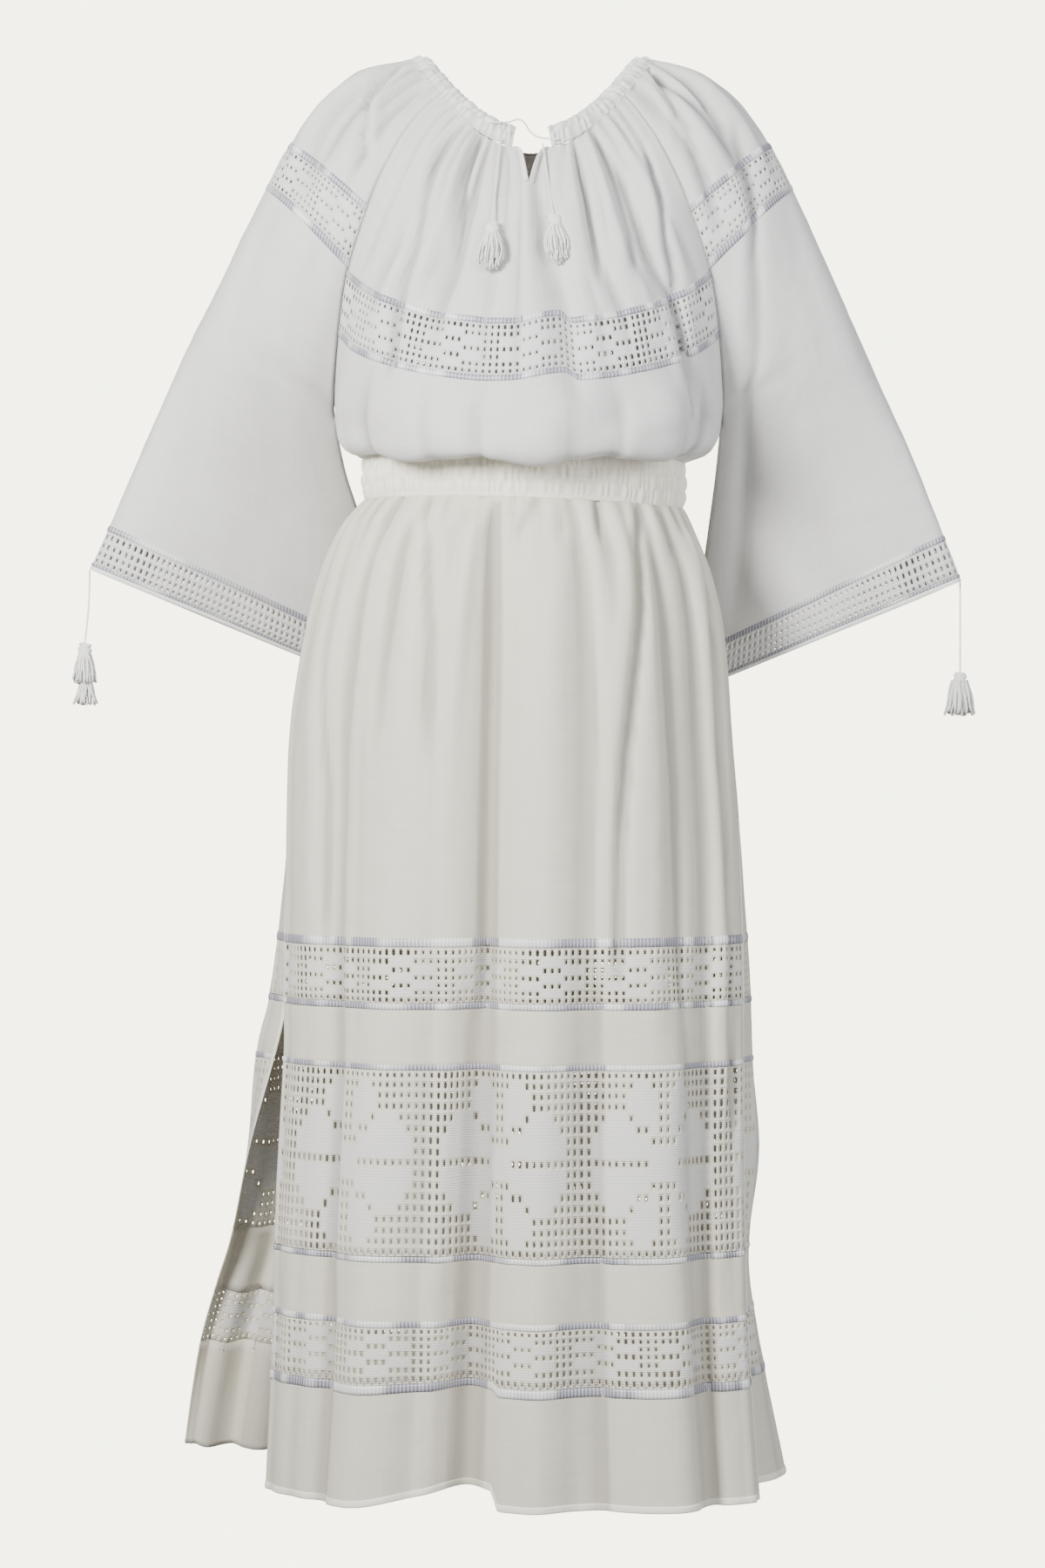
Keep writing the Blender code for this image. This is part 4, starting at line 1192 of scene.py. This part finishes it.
def make_tassel(name, place, down, look):
    """Bound yarn below a place: a wrapped head, then strands that swell and end in a soft round foot or a flare."""
    strands, *sizes, deep, foot, seed = TASSELS[name]
    head_width, head_height, body, wide = (size * MM for size in sizes)
    down = np.array(down, float) / np.linalg.norm(down)
    side = np.cross(down, (0, 1, 0))
    side /= np.linalg.norm(side)
    front = np.cross(side, down)
    tassel = Strands()

    def at(across, ahead, low):
        return place + side * across + front * ahead + down * low

    for k in range(5):  # the wrapping's turns
        level = head_height * (0.1 + 0.2 * k)
        size = head_width * (0.62 + 0.38 * math.sin(math.pi * (0.16 + 0.17 * k)))
        tilt = 0.12 * head_height * math.sin(2.3 * k + seed)
        angles = np.linspace(0, 2 * math.pi, 15)
        ring = [at(size * math.cos(t), deep * size * math.sin(t), level + tilt * math.cos(t)) for t in angles]
        tassel.tube(np.array(ring), 0.19 * head_height, 6)
    plug = np.array([at(0, 0, low) for low in np.linspace(0.0, head_height, 5)])
    tassel.tube(plug, head_width * np.array([0.3, 0.8, 0.9, 0.8, 0.6]), 10)
    shares = np.linspace(0, 1, 8)
    round_foot = 0.3 + 0.75 * np.sin(0.5 * math.pi * np.clip(shares * 1.25, 0, 1.35))
    swell = np.clip(foot * round_foot + (1 - foot) * (0.42 + 0.58 * shares), 0, 1.2)
    for k in range(strands):
        turn = GOLDEN_TURN * k + seed
        ring = math.sqrt((k + 0.5) / strands)
        uneven = 1 + 0.05 * math.sin(4.1 * k + seed) + 0.03 * math.sin(9.7 * k)
        low = 0.75 * head_height + body * uneven * (1 - foot * 0.3 * ring**3) * shares
        curl = 0.05 * wide * np.sin(6 * shares + 2.7 * k + seed)
        out = ring * wide * swell
        line = [at(o * math.cos(turn) + c, deep * o * math.sin(turn), s) for o, c, s in zip(out, curl, low)]
        tassel.tube(np.array(line), 0.125 * wide * (1.15 - 0.3 * shares), 3, turned=turn)
    return tassel.finish(name, look)


def make_strings(look):
    """The drawstring over the neck's opening, its two hanging ends and the cuffs' ties, with their tassels."""
    make_cord("cord_neck_bridge", np.array(NECK_BRIDGE) * MM, look)
    for side, (route, down) in NECK_CORDS.items():
        route = np.array(route) * MM
        down = np.array(down) / np.linalg.norm(down)
        tassel = make_tassel("tassel_neck_" + side, route[-1] + down * 1.5 * SEAM, down, look)
        make_cord("cord_neck_" + side, route, look)
    for side in SIDES:
        drop, sway = CUFF_DROPS[side]
        corner = sleeve(np.array([[0.5]]), np.array([[float(SLEEVE_FOOT)]]), side)[0, 0]
        corner[2] -= SEAM + 0.2 * MM
        route = [(corner[0] + sway * s**2, corner[1], corner[2] - drop * s) for s in (0, 0.35, 0.7, 1)]
        place = corner + (sway, 0, -drop - SEAM)
        tassels = [make_tassel("tassel_cuff_" + side, place, (0, 0, -1), look)]
        if side == "right":
            tassels.append(make_tassel("tassel_cuff_right_low", place + SECOND_TASSEL, (0, 0, -1), look))
        make_cord("cord_cuff_" + side, route, look)


# How much darker the cloth is painted in its hollows: painted shade.
PAINTED_SHADE_TONE = 0.64


def shade_of(colour, share):
    return tuple(min(1, share * part) for part in colour)


def principled(name, values):
    """A material with values for its Principled node, its tree and that node."""
    look = bpy.data.materials.new(name)
    look.use_nodes = True
    main = look.node_tree.nodes["Principled BSDF"]
    for socket, value in values.items():
        main.inputs[socket].default_value = value
    return look, look.node_tree, main


def shader(name, colour, roughness, sheen, translucent, gloss=0.25):
    """A cloth material to which detail is added, with a share of see-through light."""
    values = {
        "Base Color": (*colour, 1),
        "Roughness": roughness,
        "Sheen Weight": sheen,
        "Sheen Roughness": 0.5,
        "Specular IOR Level": gloss,
    }
    look, tree, main = principled(name, values)
    if translucent:
        through = tree.nodes.new("ShaderNodeBsdfTranslucent")
        through.inputs["Color"].default_value = (*colour, 1)
        mix = tree.nodes.new("ShaderNodeMixShader")
        mix.inputs["Fac"].default_value = translucent
        tree.links.new(main.outputs["BSDF"], mix.inputs[1])
        tree.links.new(through.outputs["BSDF"], mix.inputs[2])
        tree.links.new(mix.outputs["Shader"], tree.nodes["Material Output"].inputs["Surface"])
    return look, tree, main


def texture(tree, place, factors, kind="Noise", **values):
    """A texture read at a stretched place of the cloth."""
    stretch = tree.nodes.new("ShaderNodeMapping")
    stretch.inputs["Scale"].default_value = factors
    tree.links.new(place, stretch.inputs["Vector"])
    node = tree.nodes.new("ShaderNodeTex" + kind)
    for name, value in {"Scale": 1.0, **values}.items():
        if name in node.inputs:
            node.inputs[name].default_value = value
        else:
            setattr(node, name, value)
    tree.links.new(stretch.outputs["Vector"], node.inputs["Vector"])
    return node.outputs["Fac"]


def on_cloth(tree):
    flat = tree.nodes.new("ShaderNodeUVMap")
    flat.uv_map = "cloth"
    return flat.outputs["UV"]


# The painted shade that each point carries, read from its attribute.
def painted_shade_amount(tree):
    painted_shade = tree.nodes.new("ShaderNodeAttribute")
    painted_shade.attribute_name = "painted_shade"
    return painted_shade.outputs["Fac"]


def mixed(tree, operation, first, second):
    node = tree.nodes.new("ShaderNodeMath")
    node.operation = operation
    for socket, value in zip(node.inputs, (first, second)):
        if isinstance(value, (int, float)):
            socket.default_value = value
        else:
            tree.links.new(value, socket)
    return node.outputs["Value"]


def summed(tree, *parts):
    """The sum of some values, each with its weight."""
    total = 0.0
    for value, weight in parts:
        total = mixed(tree, "ADD", total, mixed(tree, "MULTIPLY", value, weight))
    return total


def tinted(tree, main, factor, dark, light, deep=None):
    """Colour that runs between two near tones, and on towards a deep one in the hollows between folds, which is painted
    shade.
    """
    ramp = tree.nodes.new("ShaderNodeValToRGB")
    for element, position, colour in zip(ramp.color_ramp.elements, (0.3, 0.7), (dark, light)):
        element.position = position
        element.color = (*colour, 1)
    tree.links.new(factor, ramp.inputs["Fac"])
    colour = ramp.outputs["Color"]
    if deep is not None:
        mix = tree.nodes.new("ShaderNodeMix")
        mix.data_type = "RGBA"
        mix.clamp_factor = True
        # Painted shade: the colour runs to the deep tone as the painted shade amount rises.
        tree.links.new(mixed(tree, "MULTIPLY", painted_shade_amount(tree), 0.9), mix.inputs["Factor"])
        tree.links.new(colour, mix.inputs["A"])
        mix.inputs["B"].default_value = (*deep, 1)
        colour = mix.outputs["Result"]
    tree.links.new(colour, main.inputs["Base Color"])


def bumped(tree, main, height, strength, distance):
    bump = tree.nodes.new("ShaderNodeBump")
    bump.inputs["Strength"].default_value = strength
    bump.inputs["Distance"].default_value = distance
    tree.links.new(height, bump.inputs["Height"])
    tree.links.new(bump.outputs["Normal"], main.inputs["Normal"])


def cotton(name, colour, translucent):
    """Thin handwoven cotton: slubs along both threads, faint stripes of thicker thread and small crumples, with painted
    shade in the hollows between folds.
    """
    look, tree, main = shader(name, colour, 0.9, 0.25, translucent)
    uv = on_cloth(tree)
    warp = texture(tree, uv, (1500, 60, 1), Detail=2.0)
    weft = texture(tree, uv, (70, 1400, 1), Detail=2.0)
    slub = texture(tree, uv, (18, 420, 1), Detail=1.0)
    crumple = texture(tree, uv, (60, 45, 1), Detail=4.0, Distortion=0.6)
    streak = texture(tree, uv, (420, 6, 1), Detail=3.0)
    bumped(tree, main, summed(tree, (warp, 0.35), (weft, 0.35), (slub, 0.3), (crumple, 1.5)), 0.5, 0.5 * MM)
    tone = summed(tree, (slub, 0.35), (streak, 0.4), (crumple, 0.25))
    tinted(tree, main, tone, shade_of(colour, 0.93), shade_of(colour, 1.04), shade_of(colour, PAINTED_SHADE_TONE))
    return look


def openwork(name, colour):
    """Net and woven motifs: thick threads that lie across, in small ribs, with painted shade in the hollows between
    folds and round the net's holes.
    """
    look, tree, main = shader(name, colour, 0.8, 0.2, 0.12)
    uv = on_cloth(tree)
    rib = texture(tree, uv, (1, 1, 1), "Wave", Scale=190.0, Distortion=1.2, bands_direction="Y")
    fuzz = texture(tree, uv, (900, 500, 1), Detail=3.0)
    bumped(tree, main, summed(tree, (rib, 1.0), (fuzz, 0.6)), 0.6, 0.4 * MM)
    tone = summed(tree, (rib, 0.5), (fuzz, 0.5))
    tinted(tree, main, tone, shade_of(colour, 0.9), colour, shade_of(colour, PAINTED_SHADE_TONE))
    return look


def satin(name, colour, painted_shade_colour):
    """Shiny embroidery yarn laid side by side down the band, with painted highlight and painted shade: white on the
    folds' ridges and in patches, lavender-grey in the hollows and in patches between them.
    """
    look, tree, main = shader(name, colour, 0.36, 0.1, 0.05, gloss=0.6)
    uv = on_cloth(tree)
    fibre = texture(tree, uv, (2600, 120, 1), Detail=2.0)
    painted_sheen_patch = texture(tree, uv, (30, 10, 1), Detail=1.0)
    bumped(tree, main, fibre, 0.5, 0.3 * MM)
    # Painted highlight and painted shade: the patches and the ridges run white, the hollows lavender-grey.
    tone = summed(tree, (painted_sheen_patch, 2.6), (fibre, 0.15), (painted_shade_amount(tree), -0.9))
    tinted(tree, main, mixed(tree, "SUBTRACT", tone, 1.08), painted_shade_colour, colour)
    return look


def yarn(name, colour):
    """Soft cotton yarn, with fibres that follow no map."""
    look, tree, main = shader(name, colour, 0.85, 0.3, 0.08)
    place = tree.nodes.new("ShaderNodeTexCoord").outputs["Object"]
    fibre = texture(tree, place, (900, 900, 260), Detail=3.0)
    bumped(tree, main, fibre, 0.6, 0.4 * MM)
    tinted(tree, main, fibre, shade_of(colour, 0.88), colour)
    return look


def make_camera():
    data = bpy.data.cameras.new("camera")
    data.sensor_fit = "VERTICAL"
    data.sensor_height = SENSOR_HEIGHT_MM
    data.lens = SENSOR_HEIGHT_MM * -CAMERA_PLACE[1] / (IMAGE_HEIGHT * METRES_PER_PIXEL)
    camera = added("camera", data)
    camera.location = CAMERA_PLACE
    camera.rotation_euler = (math.radians(90), 0, 0)
    bpy.context.scene.camera = camera


FLOOR = -1.9
WALL_CURVE = 1.0
WALL_FOOT = 5.0
WALL_HEIGHT = 7.0
PAPER_STRENGTH = 6.7
WORLD_STRENGTH = 0.355
SKYLIGHT = (0.86, 0.86, 0.87)
LAMP_AIM = (0, 0, -0.2)


def make_lamp(name, place, size, power, colour=(1, 1, 1)):
    data = bpy.data.lights.new(name, "AREA")
    data.shape = "DISK"
    data.size = size
    data.energy = power
    data.color = colour
    lamp = added(name, data)
    lamp.location = place
    lamp.rotation_euler = (Vector(LAMP_AIM) - Vector(place)).to_track_quat("-Z", "Y").to_euler()


def make_studio():
    """A pale floor that runs up into a wall behind, both as bright as the paper in the photograph."""
    turn = np.linspace(0, math.pi / 2, 17)
    bend = [(WALL_FOOT + WALL_CURVE * math.sin(t), WALL_CURVE * (1 - math.cos(t))) for t in turn]
    profile = [(-4.0, 0.0), *bend, (WALL_FOOT + WALL_CURVE, WALL_HEIGHT)]
    corners = [(x, y, FLOOR + z) for y, z in profile for x in (-6, 6)]
    faces = [(2 * k, 2 * k + 1, 2 * k + 3, 2 * k + 2) for k in range(len(profile) - 1)]
    mesh = bpy.data.meshes.new("studio")
    mesh.from_pydata(corners, [], faces)
    values = {
        "Base Color": (0.0, 0.0, 0.0, 1),
        "Specular IOR Level": 0.0,
        "Roughness": 1.0,
        "Emission Color": (*PAPER, 1),
        "Emission Strength": PAPER_STRENGTH,
    }
    mesh.materials.append(principled("paper", values)[0])
    studio = added("studio", mesh)
    for way in ("diffuse", "glossy", "transmission", "volume_scatter", "shadow"):  # the world lights the dress
        setattr(studio, "visible_" + way, False)
    world = bpy.data.worlds.new("studio")
    world.use_nodes = True
    sky = world.node_tree.nodes["Background"].inputs
    sky["Color"].default_value = (*SKYLIGHT, 1)
    sky["Strength"].default_value = WORLD_STRENGTH
    bpy.context.scene.world = world
    make_lamp("key", (-1.0, -1.5, 0.12), 0.7, 79, (1.0, 0.99, 0.965))
    make_lamp("fill", (1.6, -1.6, -0.05), 1.4, 43, (0.96, 0.975, 1.0))
    make_lamp("top", (0.1, 0.5, 1.5), 1.0, 16)


COOL = (0.805, 0.80, 0.785)
WARM = (0.82, 0.78, 0.665)
SATIN_WHITE = (0.97, 0.97, 0.96)
SATIN_PAINTED_SHADE = (0.54, 0.54, 0.585)
SATIN_GAP_PAINTED_SHADE = (0.25, 0.245, 0.30)
WOVEN_COOL = (0.865, 0.865, 0.865)
WOVEN_WARM = (0.865, 0.855, 0.825)
STRING = (0.93, 0.925, 0.90)
BEIGE = (0.80, 0.75, 0.66)

make_camera()
make_strings(yarn("cord_white", STRING))
# The satin's white and lavender-grey patches are painted highlight and painted shade.
shiny = satin("satin_stitch_painted_sheen", SATIN_WHITE, SATIN_PAINTED_SHADE)
# The gaps between the satin's ribs get a darker lavender copy of it: painted shade.
shadow = satin("satin_gap_painted_shade", shade_of(SATIN_WHITE, 0.75), SATIN_GAP_PAINTED_SHADE)


def garment_looks(tone, colour, woven, doubled_and_painted_light):
    """The looks of the garment pieces in one tone, in the order of their material slots."""
    return [
        cotton("cotton_" + tone, colour, 0.18),
        openwork("openwork_" + tone, shade_of(colour, 1.06)),
        openwork("woven_" + tone, woven),
        shiny,
        shadow,
        cotton("cotton_" + tone + "_doubled", shade_of(colour, doubled_and_painted_light), 0.05),
    ]


# The two-layer cloth of hems, casing and waistband is paler, partly as two layers are and partly as painted light, most
# in the warm look, which lifts the waistband out of the shade below the bodice.
uppers = garment_looks("cool", COOL, WOVEN_COOL, 1.1)
lowers = garment_looks("warm", WARM, WOVEN_WARM, 1.2)
made = {
    "neck_casing": make_casing(uppers[HEM]),
    "neck_label": make_label(cotton("label_beige", BEIGE, 0.0)),
    "waistband": make_waistband(lowers[HEM]),
    "bodice_front": make_bodice(uppers, "bodice_front", False),
    "bodice_back": make_bodice(uppers, "bodice_back", True),
    "sleeve_left": make_sleeve(uppers, "sleeve_left", "left"),
    "sleeve_right": make_sleeve(uppers, "sleeve_right", "right"),
    "skirt_front": make_skirt(lowers, "skirt_front", False),
    "skirt_back": make_skirt(lowers, "skirt_back", True),
}
# The real cut, which is gathered up, is larger.
make_studio()
